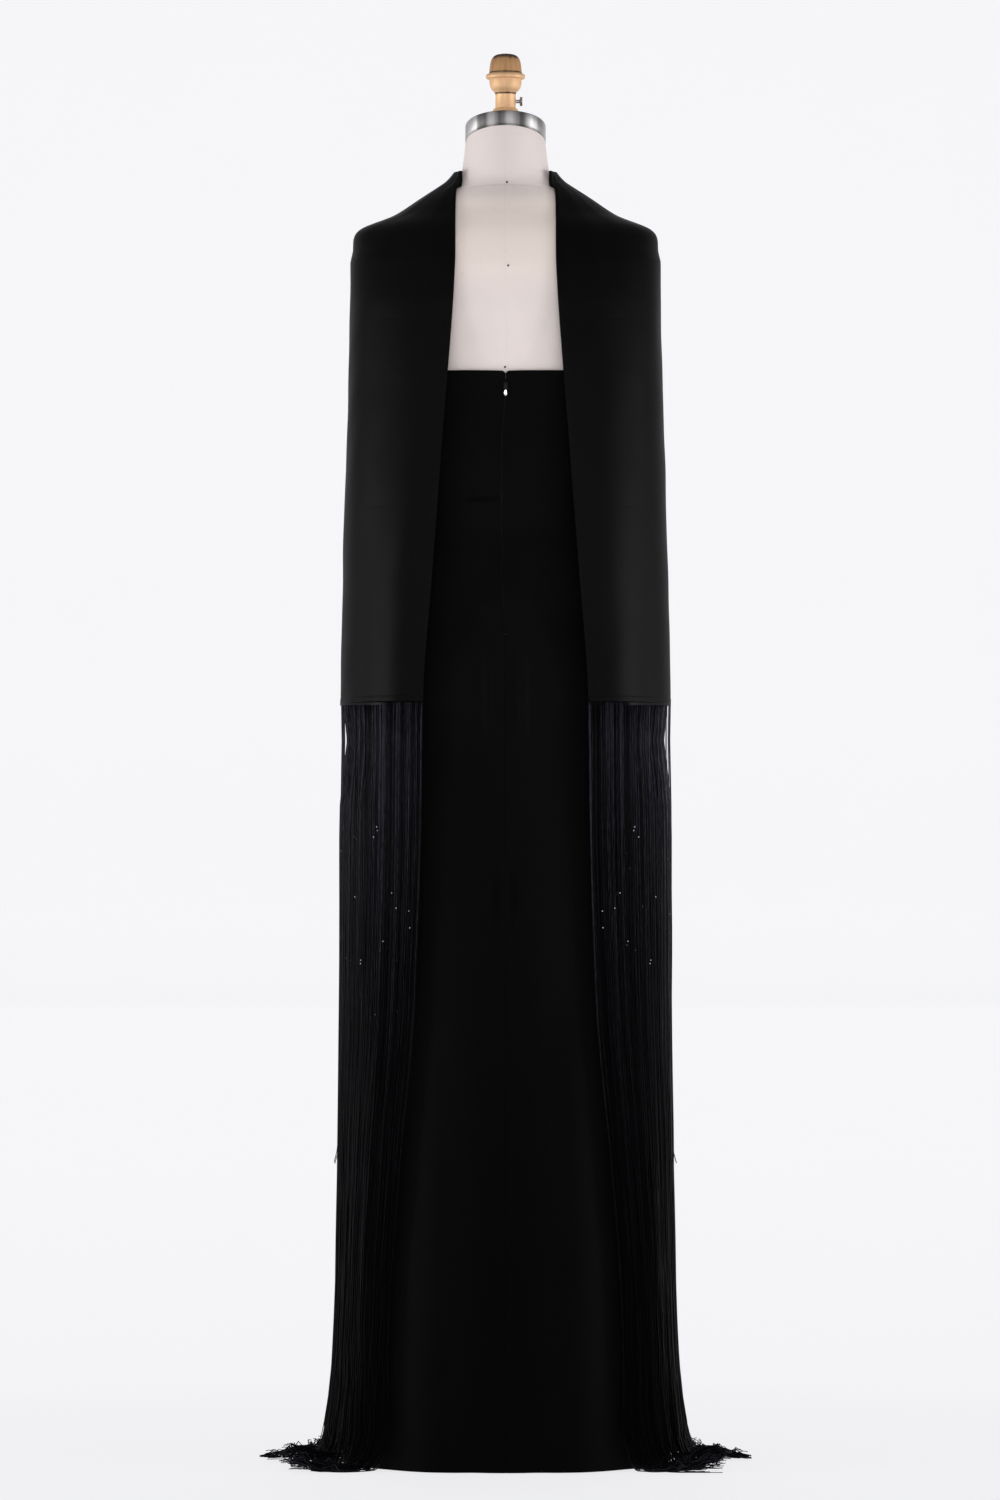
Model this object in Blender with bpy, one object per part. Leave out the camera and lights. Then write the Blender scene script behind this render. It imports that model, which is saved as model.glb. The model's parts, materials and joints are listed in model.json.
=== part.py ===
"""A long column evening gown with two fringed shoulder scarves, on a limbless dress form.

Lengths are in metres and +Z is up. The front of the gown faces -Y and its zipped back faces +Y.
The origin is on the floor, under the middle of the stand.
Cloth is a wall through horizontal sections. Each section is a rounded outline given by its half
width to the side, its depth to the back and to the front, and how square its corners are.
"""
import math

import bmesh
import bpy
import numpy as np

# Cloth and clearances
CLOTH = 0.0015
EASE = 0.0013
CLOTH_OUT = EASE + CLOTH
SEAM_GAP = 0.0003
FLOOR_GAP = 0.001

# How far the form stands in from the gown over it, further down than this height
RELIEF = 0.0022
RELIEF_FROM = 1.350
RELIEF_TO = 1.290

# Heights above the floor
FORM_BOTTOM = 0.860
WAIST = 1.167
BACK_TOP = 1.352
SIDE_TOP = 1.372
FRONT_TOP = 1.408
NOTCH = 0.003
NOTCH_PLACE = 0.991
SCARF_HEM = 0.944
SCARF_TOP = 1.606
NECK_TOP = 1.6445

# Bust of the form and of the bodice cut over it
BUST_HEIGHT = 1.325
BUST_SPREAD = 0.078
BUST_DEPTH = 0.026
BUST_WIDTH = 0.050
BUST_REACH = 0.060

# Neck end of the form: the slope of its top, and the metal on it
NECK_SLOPE = 0.34
NECK_MIDDLE = -0.008
CAP_RADIUS = 0.0503
CAP_HEIGHT = 0.0215

# Stand
POLE_RADIUS = 0.016
BASE_RADIUS = 0.130
BASE_THICKNESS = 0.014
HUB_RADIUS = 0.034
HUB_TOP = 0.050
PLATE_RADIUS = 0.055
PLATE_THICKNESS = 0.008

# Fringe
STRANDS = 64
STRAND_RADIUS = 0.0010
STRIP_HEIGHT = 0.005
STRIP_WIDTH = 0.0034
LYING_LOW = 0.0028
LYING_STEP = 0.0024
LYING_LAYERS = 4

# Zip
SLIDER_DROP = 0.019
SLIDER_LENGTH = 0.0090
SLIDER_WIDTH = 0.0056
SLIDER_THICK = 0.0018
ARCH_WIDTH = 0.0012
ARCH_BAR = 0.0009
ARCH_OPENING = 0.0019
PULL_LENGTH = 0.0125
PULL_WIDTH = 0.0050
PULL_THICK = 0.0009

SIDES = {"left": 1, "right": -1}

# Columns of points in each quarter of the form and of the gown
QUARTER_STEPS = 10

BODY_COLUMNS = ("height", "side", "back", "front", "middle", "square", "slope")
BODY = (
    (FORM_BOTTOM, 0.1640, 0.1080, 0.0960, 0.000, 2.40, 0.00),
    (0.9000, 0.1700, 0.1185, 0.0990, 0.000, 2.40, 0.00),
    (0.9670, 0.1720, 0.1265, 0.1010, 0.000, 2.40, 0.00),
    (1.0600, 0.1520, 0.1125, 0.0990, 0.000, 2.30, 0.00),
    (1.1200, 0.1290, 0.0925, 0.0910, 0.000, 2.25, 0.00),
    (WAIST, 0.1190, 0.0800, 0.0860, 0.000, 2.20, 0.00),
    (1.2150, 0.1230, 0.0820, 0.0890, 0.000, 2.20, 0.00),
    (1.2700, 0.1370, 0.0920, 0.0990, 0.000, 2.30, 0.00),
    (1.3270, 0.1500, 0.1010, 0.1060, 0.000, 2.40, 0.00),
    (1.3800, 0.1580, 0.1090, 0.1040, 0.000, 2.40, 0.00),
    (1.4400, 0.1680, 0.1130, 0.0960, 0.000, 2.30, 0.00),
    (1.4800, 0.1810, 0.1080, 0.0860, 0.000, 2.15, 0.00),
    (1.5050, 0.1880, 0.1000, 0.0780, 0.000, 2.05, 0.00),
    (1.5220, 0.1875, 0.0930, 0.0720, 0.000, 1.95, 0.00),
    (1.5320, 0.1810, 0.0880, 0.0680, 0.000, 1.85, 0.00),
    (1.5385, 0.1690, 0.0840, 0.0650, 0.000, 1.80, 0.00),
    (1.5450, 0.1460, 0.0800, 0.0620, 0.000, 1.80, 0.00),
    (1.5545, 0.1285, 0.0740, 0.0590, -0.001, 1.85, 0.00),
    (1.5695, 0.1065, 0.0650, 0.0560, -0.002, 1.90, 0.00),
    (1.5845, 0.0835, 0.0560, 0.0535, -0.004, 1.95, 0.00),
    (1.5920, 0.0720, 0.0530, 0.0525, -0.005, 2.00, 0.00),
    (1.5995, 0.0625, 0.0520, 0.0520, -0.006, 2.00, 0.02),
    (1.6090, 0.0548, 0.0522, 0.0522, -0.007, 2.00, 0.08),
    (1.6260, 0.0520, 0.0515, 0.0515, NECK_MIDDLE, 2.00, 0.22),
    (NECK_TOP, 0.0498, 0.0498, 0.0498, NECK_MIDDLE, 2.00, NECK_SLOPE),
)

# Outer face of the skirt below the hip
SKIRT_COLUMNS = ("height", "side", "back", "front", "square")
SKIRT = (
    (0.0000, 0.2040, 0.1560, 0.1500, 2.50),
    (0.1200, 0.1970, 0.1500, 0.1430, 2.50),
    (0.3000, 0.1890, 0.1430, 0.1340, 2.45),
    (0.5500, 0.1830, 0.1370, 0.1230, 2.40),
    (0.8000, 0.1785, 0.1330, 0.1110, 2.40),
    (0.9670, 0.1755, 0.1300, 0.1045, 2.40),
)

# Outer face of a scarf where it hangs free, and of the fringe below it, with the places along X of
# its two free edges: the one that shows at the back and the one in front
HANG_COLUMNS = ("height", "side", "back", "front", "square", "edge_back", "edge_front")
HANG = (
    (0.0200, 0.2260, 0.1620, 0.1640, 2.50, 0.1440, 0.1400),
    (0.1000, 0.2150, 0.1570, 0.1600, 2.50, 0.1440, 0.1370),
    (0.2000, 0.2095, 0.1530, 0.1560, 2.50, 0.1420, 0.1320),
    (0.3700, 0.2060, 0.1470, 0.1510, 2.55, 0.1300, 0.1220),
    (0.5800, 0.2035, 0.1420, 0.1470, 2.60, 0.1110, 0.1080),
    (0.8000, 0.2028, 0.1400, 0.1450, 2.65, 0.1035, 0.1010),
    (SCARF_HEM, 0.2025, 0.1385, 0.1440, 2.70, 0.1015, 0.0980),
    (1.1000, 0.2005, 0.1345, 0.1430, 2.70, 0.0905, 0.0900),
    (1.2000, 0.1990, 0.1310, 0.1420, 2.60, 0.0830, 0.0840),
    (1.3000, 0.1970, 0.1265, 0.1410, 2.50, 0.0755, 0.0790),
    (1.3600, 0.1955, 0.1240, 0.1340, 2.45, 0.0705, 0.0750),
    (1.4200, 0.1945, 0.1195, 0.1180, 2.40, 0.0660, 0.0720),
    (1.4600, 0.1940, 0.1150, 0.1000, 2.30, 0.0635, 0.0690),
    (1.4975, 0.1938, 0.1010, 0.0800, 2.20, 0.0620, 0.0660),
    (1.5600, 0.0500, 0.0500, 0.0500, 2.20, 0.0620, 0.0610),
    (1.5880, 0.0500, 0.0500, 0.0500, 2.20, 0.0570, 0.0560),
    (SCARF_TOP, 0.0500, 0.0500, 0.0500, 2.20, 0.0550, 0.0540),
)

# Soft upright folds of the skirt: place from the centre front (0) to the centre back (1), width in
# the same measure, the height where the fold fades out, and its depth at the hem
FOLD_COLUMNS = ("place", "width", "fade", "depth")
SKIRT_FOLDS = (
    (0.06, 0.045, 0.80, 0.0030),
    (0.19, 0.050, 0.62, -0.0035),
    (0.32, 0.055, 0.85, 0.0040),
    (0.47, 0.050, 0.70, -0.0030),
    (0.62, 0.050, 0.88, 0.0030),
    (0.74, 0.040, 0.66, -0.0035),
    (0.84, 0.035, 0.94, 0.0030),
    (0.93, 0.030, 0.72, -0.0030),
)

# Soft folds of a scarf: place across it from its back edge (0) to its front edge (1), width in the
# same measure, the height where the fold fades out, and its depth at the hem
SCARF_FOLDS = (
    (0.10, 0.060, 1.44, 0.0030),
    (0.27, 0.070, 1.36, -0.0040),
    (0.44, 0.060, 1.50, 0.0035),
    (0.63, 0.070, 1.34, -0.0035),
    (0.86, 0.070, 1.40, 0.0040),
)

# Turned outline of the knob on the neck: radius and height above the floor
KNOB_COLUMNS = ("radius", "height")
KNOB = (
    (0.0165, 1.6840),
    (0.0150, 1.6870),
    (0.0127, 1.6885),
    (0.0127, 1.7060),
    (0.0140, 1.7085),
    (0.0182, 1.7130),
    (0.0200, 1.7190),
    (0.0202, 1.7238),
    (0.0240, 1.7252),
    (0.0246, 1.7275),
    (0.0238, 1.7300),
    (0.0204, 1.7322),
    (0.0196, 1.7400),
    (0.0182, 1.7482),
    (0.0140, 1.7535),
    (0.0070, 1.7558),
)
SCREW_HEIGHT = 1.6965
SCREW_RADIUS = 0.0022
SCREW_HOLE_RADIUS = 0.0026
SCREW_DEPTH = 0.0075
SCREW_HEAD_RADIUS = 0.0055
SCREW_HEAD_INNER = 0.0178
SCREW_HEAD_OUTER = 0.0212

MATERIALS = {
    "crepe": ((0.0040, 0.0040, 0.0044), 0.62, 0.0),
    "scarf_crepe": ((0.0065, 0.0062, 0.0070), 0.55, 0.0),
    "fringe": ((0.0060, 0.0058, 0.0072), 0.40, 0.0),
    "form_linen": ((0.760, 0.680, 0.640), 0.80, 0.0),
    "steel": ((0.540, 0.530, 0.530), 0.28, 1.0),
    "brass": ((0.700, 0.470, 0.260), 0.30, 1.0),
    "zip_metal": ((0.420, 0.420, 0.430), 0.30, 1.0),
    "stand_paint": ((0.030, 0.030, 0.032), 0.45, 0.0),
}


def named(columns, rows):
    """A table as one array for each column name."""
    return dict(zip(columns, np.array(rows, float).T))


def smooth_between(knots, values, at):
    """A smooth curve through the values at rising knots that never swings past them, read at one place.

    It is a cubic between each two knots, whose slope at a knot is the harmonic mean of the slopes on
    its two sides, or level where they differ in sign.
    """
    at = min(max(at, knots[0]), knots[-1])
    steps = np.diff(knots)
    slopes = np.diff(values) / steps
    tangent = np.concatenate(([slopes[0]], np.zeros(len(slopes) - 1), [slopes[-1]]))
    for k in range(1, len(slopes)):
        if slopes[k - 1] * slopes[k] > 0:
            tangent[k] = 2 * slopes[k - 1] * slopes[k] / (slopes[k - 1] + slopes[k])
    k = min(int(np.searchsorted(knots, at, side="right")) - 1, len(steps) - 1)
    t = (at - knots[k]) / steps[k]
    rise = (1 + 2 * t) * (1 - t) ** 2 * values[k] + t * t * (3 - 2 * t) * values[k + 1]
    lean = t * (1 - t) ** 2 * tangent[k] - t * t * (1 - t) * tangent[k + 1]
    return rise + lean * steps[k]


def section_from(table, height):
    """The section of a table at one height, by column name."""
    return {
        name: smooth_between(table["height"], values, height)
        for name, values in table.items()
        if name != "height"
    }


BODY_TABLE = named(BODY_COLUMNS, BODY)
SKIRT_TABLE = named(SKIRT_COLUMNS, SKIRT)
HANG_TABLE = named(HANG_COLUMNS, HANG)


def bust(across, height):
    """How far the bust stands forward at one place across the front."""
    side = (abs(across) - BUST_SPREAD) / BUST_WIDTH
    up = (height - BUST_HEIGHT) / BUST_REACH
    return BUST_DEPTH * math.exp(-side * side - up * up)


def outline_point(section, height, quarter, angle):
    """A point of a section, on its front (-1) or back (1) quarter, at an angle from the side (0) to the middle."""
    power = 2 / section["square"]
    across = section["side"] * math.cos(angle) ** power if angle < math.pi / 2 else 0.0
    depth = section["back"] if quarter > 0 else section["front"]
    along = section.get("middle", 0.0) + quarter * depth * math.sin(angle) ** power
    if quarter < 0:
        along -= bust(across, height) * math.sin(angle)
    return np.array([across, along])


def quarter_outline(section, height, quarter, samples=48):
    """Points along a quarter of a section, from its side to its middle."""
    angles = np.linspace(0, math.pi / 2, samples)
    return np.array([outline_point(section, height, quarter, a) for a in angles])


def along(points, fractions, trim_start=0.0, trim_end=0.0):
    """Points at fractions of the length of a line of points, which is first trimmed at each end.

    It returns each point with the outward normal there, which is to the right of the line's course.
    """
    steps = np.linalg.norm(np.diff(points, axis=0), axis=1)
    reach = np.concatenate(([0.0], np.cumsum(steps)))
    places = trim_start + np.asarray(fractions) * (reach[-1] - trim_start - trim_end)
    found = np.stack([np.interp(places, reach, points[:, k]) for k in range(2)], axis=1)
    near = reach[-1] * 0.02
    ahead = np.stack([np.interp(places + near, reach, points[:, k]) for k in range(2)], axis=1)
    behind = np.stack([np.interp(places - near, reach, points[:, k]) for k in range(2)], axis=1)
    course = ahead - behind
    course /= np.linalg.norm(course, axis=1)[:, None]
    return found, np.stack([course[:, 1], -course[:, 0]], axis=1)


def fold_depth(folds, place, height, lowest):
    """The height of all soft folds at one place: each is a smooth ridge that fades out upwards."""
    total = 0.0
    for fold in (dict(zip(FOLD_COLUMNS, row)) for row in folds):
        rise = min(max((fold["fade"] - height) / (fold["fade"] - lowest), 0.0), 1.0)
        away = (place - fold["place"]) / fold["width"]
        total += fold["depth"] * rise * rise * (3 - 2 * rise) * math.exp(-away * away)
    return total


def material(name):
    """The named material, with its colour, roughness and metallic value."""
    found = bpy.data.materials.get(name)
    if found is None:
        colour, roughness, metallic = MATERIALS[name]
        found = bpy.data.materials.new(name)
        found.use_nodes = True
        shader = found.node_tree.nodes["Principled BSDF"]
        shader.inputs["Base Color"].default_value = (*colour, 1.0)
        shader.inputs["Roughness"].default_value = roughness
        shader.inputs["Metallic"].default_value = metallic
        found.diffuse_color = (*colour, 1.0)
    return found


def make_object(name, points, faces, finish, smooth=True):
    """A named object from points and faces, with its faces turned outwards."""
    mesh = bpy.data.meshes.new(name)
    mesh.from_pydata([tuple(p) for p in points], [], faces)
    work = bmesh.new()
    work.from_mesh(mesh)
    bmesh.ops.recalc_face_normals(work, faces=work.faces)
    work.to_mesh(mesh)
    work.free()
    if smooth:
        mesh.shade_smooth()
        mesh.set_sharp_from_angle(angle=math.radians(40))
    made = bpy.data.objects.new(name, mesh)
    made.data.materials.append(material(finish))
    bpy.context.scene.collection.objects.link(made)
    return made


def grid_normals(grid, outward):
    """The unit normal at each point of a grid, on the side that the outward vectors point to."""
    down = np.gradient(grid, axis=0)
    across = np.gradient(grid, axis=1)
    normal = np.cross(down, across)
    normal /= np.linalg.norm(normal, axis=2)[:, :, None]
    turned = np.sign((normal * outward).sum(axis=2))
    turned[turned == 0] = 1.0
    return normal * turned[:, :, None]


def cloth_wall(name, grid, outward, finish, seams=()):
    """A wall of cloth whose outer face is the grid, thickened inwards along its normals.

    A seam is a column of the grid and the axis that the edge there keeps square to.
    """
    rows, columns = grid.shape[:2]
    normals = grid_normals(grid, outward)
    for column, axis in seams:
        normals[:, column, axis] = 0.0
        normals[:, column] /= np.linalg.norm(normals[:, column], axis=1)[:, None]
    inner = grid - normals * CLOTH
    inner[:, :, 2] = np.maximum(inner[:, :, 2], FLOOR_GAP)
    points = np.concatenate([grid.reshape(-1, 3), inner.reshape(-1, 3)])
    under = rows * columns

    def at(row, column, layer=0):
        return layer * under + row * columns + column

    faces = []
    for r in range(rows - 1):
        for c in range(columns - 1):
            faces.append((at(r, c), at(r, c + 1), at(r + 1, c + 1), at(r + 1, c)))
            faces.append((at(r, c, 1), at(r + 1, c, 1), at(r + 1, c + 1, 1), at(r, c + 1, 1)))
    for c in range(columns - 1):
        for r in (0, rows - 1):
            faces.append((at(r, c), at(r, c, 1), at(r, c + 1, 1), at(r, c + 1)))
    for r in range(rows - 1):
        for c in (0, columns - 1):
            faces.append((at(r, c), at(r + 1, c), at(r + 1, c, 1), at(r, c, 1)))
    return make_object(name, points, faces, finish)


def stacked_rings(rings):
    """Points and faces of a solid through rings of equal count, closed by a flat cap at each end."""
    count = len(rings[0])
    points = np.concatenate(rings)
    faces = [tuple(range(count)), tuple(range(len(points) - count, len(points)))]
    for r in range(len(rings) - 1):
        for k in range(count):
            low, high = r * count, (r + 1) * count
            following = (k + 1) % count
            faces.append((low + k, low + following, high + following, high + k))
    return points, faces


def circle(radius, height, count, middle=0.0, slope=0.0):
    """A ring round the vertical axis through the middle, level or rising to the back by its slope."""
    turn = np.arange(count) * 2 * math.pi / count
    along_x = radius * np.cos(turn)
    along_y = radius * np.sin(turn)
    return np.stack([along_x, middle + along_y, height + slope * along_y], axis=1)


def round_solid(name, outline, finish, count=28):
    """A solid turned round the stand's axis from pairs of radius and height."""
    rings = [circle(radius, height, count) for radius, height in outline]
    return make_object(name, *stacked_rings(rings), finish)


SHOULDER_LEVELS = (
    1.500, 1.513, 1.522, 1.529, 1.535, 1.541, 1.5465, 1.554, 1.563, 1.573, 1.583, 1.592, 1.5995,
)


def build_form():
    """The padded torso, from below the hips to the sloping top of its neck."""
    heights = np.concatenate(
        [
            [FORM_BOTTOM, 0.91, 0.967, 1.04, 1.105, WAIST, 1.215, 1.265, 1.305, 1.34, 1.375],
            [FRONT_TOP, 1.44, 1.475],
            SHOULDER_LEVELS,
            [1.609, 1.626, NECK_TOP],
        ]
    )
    steps = QUARTER_STEPS
    rings = []
    for height in heights:
        section = section_from(BODY_TABLE, height)
        relief = RELIEF * min(max((RELIEF_FROM - height) / (RELIEF_FROM - RELIEF_TO), 0.0), 1.0)
        section.update({name: section[name] - relief for name in ("side", "back", "front")})
        back = quarter_outline(section, height, 1)
        front = quarter_outline(section, height, -1)
        places = np.arange(steps) / steps
        side_to_back = along(back, places)[0]
        back_to_side = along(back[::-1] * (-1, 1), places)[0]
        side_to_front = along(front * (-1, 1), places)[0]
        front_to_side = along(front[::-1], places)[0]
        flat = np.concatenate([side_to_back, back_to_side, side_to_front, front_to_side])
        rise = section["slope"] * (flat[:, 1] - section["middle"])
        rings.append(np.column_stack([flat, height + rise]))
    make_object("form_torso", *stacked_rings(rings), "form_linen")


def build_neck_metal():
    """The steel cap on the neck, the turned brass knob on it, and the knob's thumb screw."""
    count = 28
    bevel = 0.0014
    low = NECK_TOP + SEAM_GAP
    cap = [
        circle(CAP_RADIUS, low, count, NECK_MIDDLE, NECK_SLOPE),
        circle(CAP_RADIUS, low + CAP_HEIGHT - bevel, count, NECK_MIDDLE, NECK_SLOPE),
        circle(CAP_RADIUS - bevel, low + CAP_HEIGHT, count, NECK_MIDDLE, NECK_SLOPE),
    ]
    make_object("neck_cap", *stacked_rings(cap), "steel")

    knob_count = 24
    seat = low + CAP_HEIGHT + SEAM_GAP
    rings = [circle(KNOB[0][0], seat, knob_count, NECK_MIDDLE, NECK_SLOPE)]
    rings += [circle(radius, height, knob_count, NECK_MIDDLE) for radius, height in KNOB]
    knob = make_object("neck_knob", *stacked_rings(rings), "brass")

    hole = sideways_cylinder("screw_hole", SCREW_HOLE_RADIUS, SCREW_DEPTH - SEAM_GAP, 0.02, 16)
    hole.hide_render = True
    hole.display_type = "WIRE"
    cut = knob.modifiers.new("screw hole", "BOOLEAN")
    cut.operation = "DIFFERENCE"
    cut.solver = "EXACT"
    cut.object = hole

    count = 16
    outline = (
        (SCREW_RADIUS, SCREW_DEPTH),
        (SCREW_RADIUS, SCREW_HEAD_INNER),
        (SCREW_HEAD_RADIUS, SCREW_HEAD_INNER),
        (SCREW_HEAD_RADIUS, SCREW_HEAD_OUTER),
    )
    rings = [sideways_circle(radius, reach, count) for radius, reach in outline]
    points, faces = stacked_rings(rings)
    screw = make_object("neck_screw", points, faces, "steel")
    screw.location = (0, NECK_MIDDLE, SCREW_HEIGHT)


def sideways_circle(radius, reach, count):
    """A ring round the X axis, at a distance towards the right of the wearer (-X)."""
    turn = np.arange(count) * 2 * math.pi / count
    return np.stack([np.full(count, -reach), radius * np.cos(turn), radius * np.sin(turn)], axis=1)


def sideways_cylinder(name, radius, start, end, count):
    """A cylinder round the thumb screw's axis."""
    rings = [sideways_circle(radius, start, count), sideways_circle(radius, end, count)]
    made = make_object(name, *stacked_rings(rings), "steel")
    made.location = (0, NECK_MIDDLE, SCREW_HEIGHT)
    return made


def build_stand():
    """The weighted round base, and the pole with the plate that carries the torso."""
    edge = 0.003
    round_solid(
        "stand_base",
        (
            (BASE_RADIUS, 0.0),
            (BASE_RADIUS, BASE_THICKNESS - edge),
            (BASE_RADIUS - edge, BASE_THICKNESS),
            (HUB_RADIUS + edge, BASE_THICKNESS + edge),
            (HUB_RADIUS, BASE_THICKNESS + 2 * edge),
            (HUB_RADIUS - edge, HUB_TOP),
        ),
        "stand_paint",
        32,
    )
    top = FORM_BOTTOM - SEAM_GAP
    below = top - PLATE_THICKNESS
    round_solid(
        "stand_plate",
        (
            (PLATE_RADIUS - 0.002, below),
            (PLATE_RADIUS, below + 0.002),
            (PLATE_RADIUS, top),
        ),
        "steel",
        24,
    )
    round_solid(
        "stand_pole",
        (
            (POLE_RADIUS, HUB_TOP + SEAM_GAP),
            (POLE_RADIUS, below - SEAM_GAP),
        ),
        "steel",
        20,
    )


def gown_section(height):
    """The outer face of the gown: over the form above the hip, and the skirt's own sections below."""
    hip = SKIRT[-1][0]
    if height <= hip:
        return section_from(SKIRT_TABLE, height)
    body = section_from(BODY_TABLE, height)
    return {
        "side": body["side"] + CLOTH_OUT,
        "back": body["back"] + CLOTH_OUT,
        "front": body["front"] + CLOTH_OUT,
        "square": body["square"],
    }


def top_edge(place):
    """The height of the bodice's top edge from the centre front (0) over the side (0.5) to the back (1)."""
    knots = np.array([0.0, 0.30, 0.50, 0.62, NOTCH_PLACE, 1.0])
    heights = [FRONT_TOP, FRONT_TOP - 0.002, SIDE_TOP, BACK_TOP + 0.002, BACK_TOP, BACK_TOP - NOTCH]
    return smooth_between(knots, np.array(heights), place)


def gown_point(quarter, place, level, trims):
    """A point of the gown's outer face, on its front (-1) or back (1), and the way out there.

    The place runs from the centre front (0) over the side seam (0.5) to the centre back (1). Levels
    above the waist are stretched so that the last one is the top edge.
    """
    height = level
    if level > WAIST:
        height = WAIST + (level - WAIST) * (top_edge(place) - WAIST) / (FRONT_TOP - WAIST)
    line = quarter_outline(gown_section(height), height, quarter)
    if quarter < 0:
        line = line[::-1]
    found, normal = along(line, [place * 2 - (quarter > 0)], *trims)
    outward = normal[0] * np.sign(np.dot(normal[0], found[0]))
    fold = fold_depth(SKIRT_FOLDS, place, height, 0.0)
    flat = found[0] + outward * fold
    return np.array([flat[0], flat[1], height]), np.array([outward[0], outward[1], 0.0])


GOWN_LEVELS = (
    FLOOR_GAP, 0.10, 0.22, 0.36, 0.50, 0.64, 0.78, 0.88, 0.967, 1.04, 1.105,
    WAIST, 1.215, 1.265, 1.305, 1.34, 1.375, FRONT_TOP,
)
FRONT_PLACES = np.arange(QUARTER_STEPS + 1) * 0.5 / QUARTER_STEPS
BACK_PLACES = np.sort(np.append(0.5 + FRONT_PLACES, NOTCH_PLACE))


def build_gown():
    """The two fronts, and the two backs that meet at the zip and the centre back seam.

    Each edge of a panel stands half a seam's gap back from its seam. It keeps square to Y at the
    side seam and to X at the centre seams. The right side's columns run the other way round, so
    that its four-sided faces split into triangles as the left side's do.
    """
    trims = (SEAM_GAP / 2, SEAM_GAP / 2)
    front = np.array([[gown_point(-1, p, h, trims) for p in FRONT_PLACES] for h in GOWN_LEVELS])
    back = np.array([[gown_point(1, p, h, trims) for p in BACK_PLACES] for h in GOWN_LEVELS])
    panels = {"front": (front, ((0, 0), (-1, 1))), "back": (back, ((0, 1), (-1, 0)))}
    for name, (panel, seams) in panels.items():
        for side, sign in SIDES.items():
            turned = panel[:, ::sign] * (sign, 1, 1)
            edges = [(column if sign > 0 else -1 - column, axis) for column, axis in seams]
            cloth_wall(f"gown_{name}_{side}", turned[:, :, 0], turned[:, :, 1], "crepe", edges)
    return back


def scarf_section(height):
    """The outer face of a scarf: on the form's shoulder, or hanging, whichever is further out."""
    hang = section_from(HANG_TABLE, height)
    under = section_from(BODY_TABLE, height - CLOTH_OUT)
    gap = CLOTH_OUT if height > FRONT_TOP + 0.04 else 2 * CLOTH_OUT + SEAM_GAP
    section = {k: max(hang[k], under[k] + gap) for k in ("side", "back", "front")}
    on_form = under["side"] + gap > hang["side"]
    section["square"] = under["square"] if on_form else hang["square"]
    section["middle"] = under["middle"] if height > 1.5 else 0.0
    section["edge_back"] = hang["edge_back"]
    section["edge_front"] = hang["edge_front"]
    return section


def without_bust(section, quarter, samples=64):
    """Points along a quarter of a section from its side to its middle, with no bust in front."""
    angles = np.linspace(0, math.pi / 2, samples)
    power = 2 / section["square"]
    across = section["side"] * np.cos(angles) ** power
    across[-1] = 0.0
    depth = section["back"] if quarter > 0 else section["front"]
    return np.stack([across, section.get("middle", 0.0) + quarter * depth * np.sin(angles) ** power], axis=1)


def scarf_line(section):
    """The plan line of a scarf from its back edge round the side to its front edge."""
    back = without_bust(section, 1)
    front = without_bust(section, -1)
    back = back[back[:, 0] > section["edge_back"]][::-1]
    front = front[front[:, 0] > section["edge_front"]]
    return np.concatenate([back, front[1:]])


def scarf_points(height, fractions, folds=SCARF_FOLDS):
    """Points across a scarf or its fringe at one height, with the way out at each."""
    found, normal = along(scarf_line(scarf_section(height)), fractions)
    outward = normal * np.sign((normal * found).sum(axis=1))[:, None]
    depth = [fold_depth(folds, f, height, SCARF_HEM) for f in fractions]
    flat = found + outward * np.array(depth)[:, None]
    level = np.full(len(fractions), height)
    return np.column_stack([flat, level]), np.column_stack([outward, level * 0])


SCARF_LEVELS = np.concatenate(
    [
        [SCARF_HEM, 1.02, 1.10, 1.18, 1.26, 1.32, 1.37, 1.415, 1.455, 1.485],
        np.array(SHOULDER_LEVELS) + CLOTH_OUT,
        [SCARF_TOP],
    ]
)
SCARF_COLUMNS = 19


def build_scarves():
    """A scarf over each shoulder, open at the back and the front, down to the hips."""
    even = np.linspace(0, 1, SCARF_COLUMNS)
    fractions = even + 0.06 * np.sin(2 * math.pi * even)
    rows = [scarf_points(height, fractions) for height in SCARF_LEVELS]
    grid = np.array([row[0] for row in rows])
    outward = np.array([row[1] for row in rows]) + (0, 0, 0.5)
    for side, sign in SIDES.items():
        cloth_wall(f"scarf_{side}", grid * (sign, 1, 1), outward * (sign, 1, 1), "scarf_crepe")


def strand_reach(fraction):
    """How far a strand lies out along the floor: far at the side, short at the scarf's two edges."""
    return 0.012 + 0.066 * math.sin(math.pi * fraction) ** 1.5


def strand_path(index):
    """The middle of a strand: down from the strip, round at the floor and out along it."""
    fraction = (index + 0.5) / STRANDS
    lying = LYING_LOW + LYING_STEP * ((index * 3) % LYING_LAYERS)
    path = []
    for height in (0.36, 0.12):
        path.append(scarf_points(height, [fraction])[0][0])
    foot, outward = scarf_points(0.02, [fraction])
    foot, outward = foot[0], outward[0]
    course = outward * 0.65 + np.array([0.35, 0, 0])
    course /= np.linalg.norm(course)
    path.append(np.array([foot[0], foot[1], lying + 0.018]))
    path.append(foot * (1, 1, 0) + course * 0.010 + (0, 0, lying))
    end = foot * (1, 1, 0) + course * (0.010 + strand_reach(fraction))
    path.append(end + (0, 0, max(lying - 0.0012, LYING_LOW)))
    return np.array(path)


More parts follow.
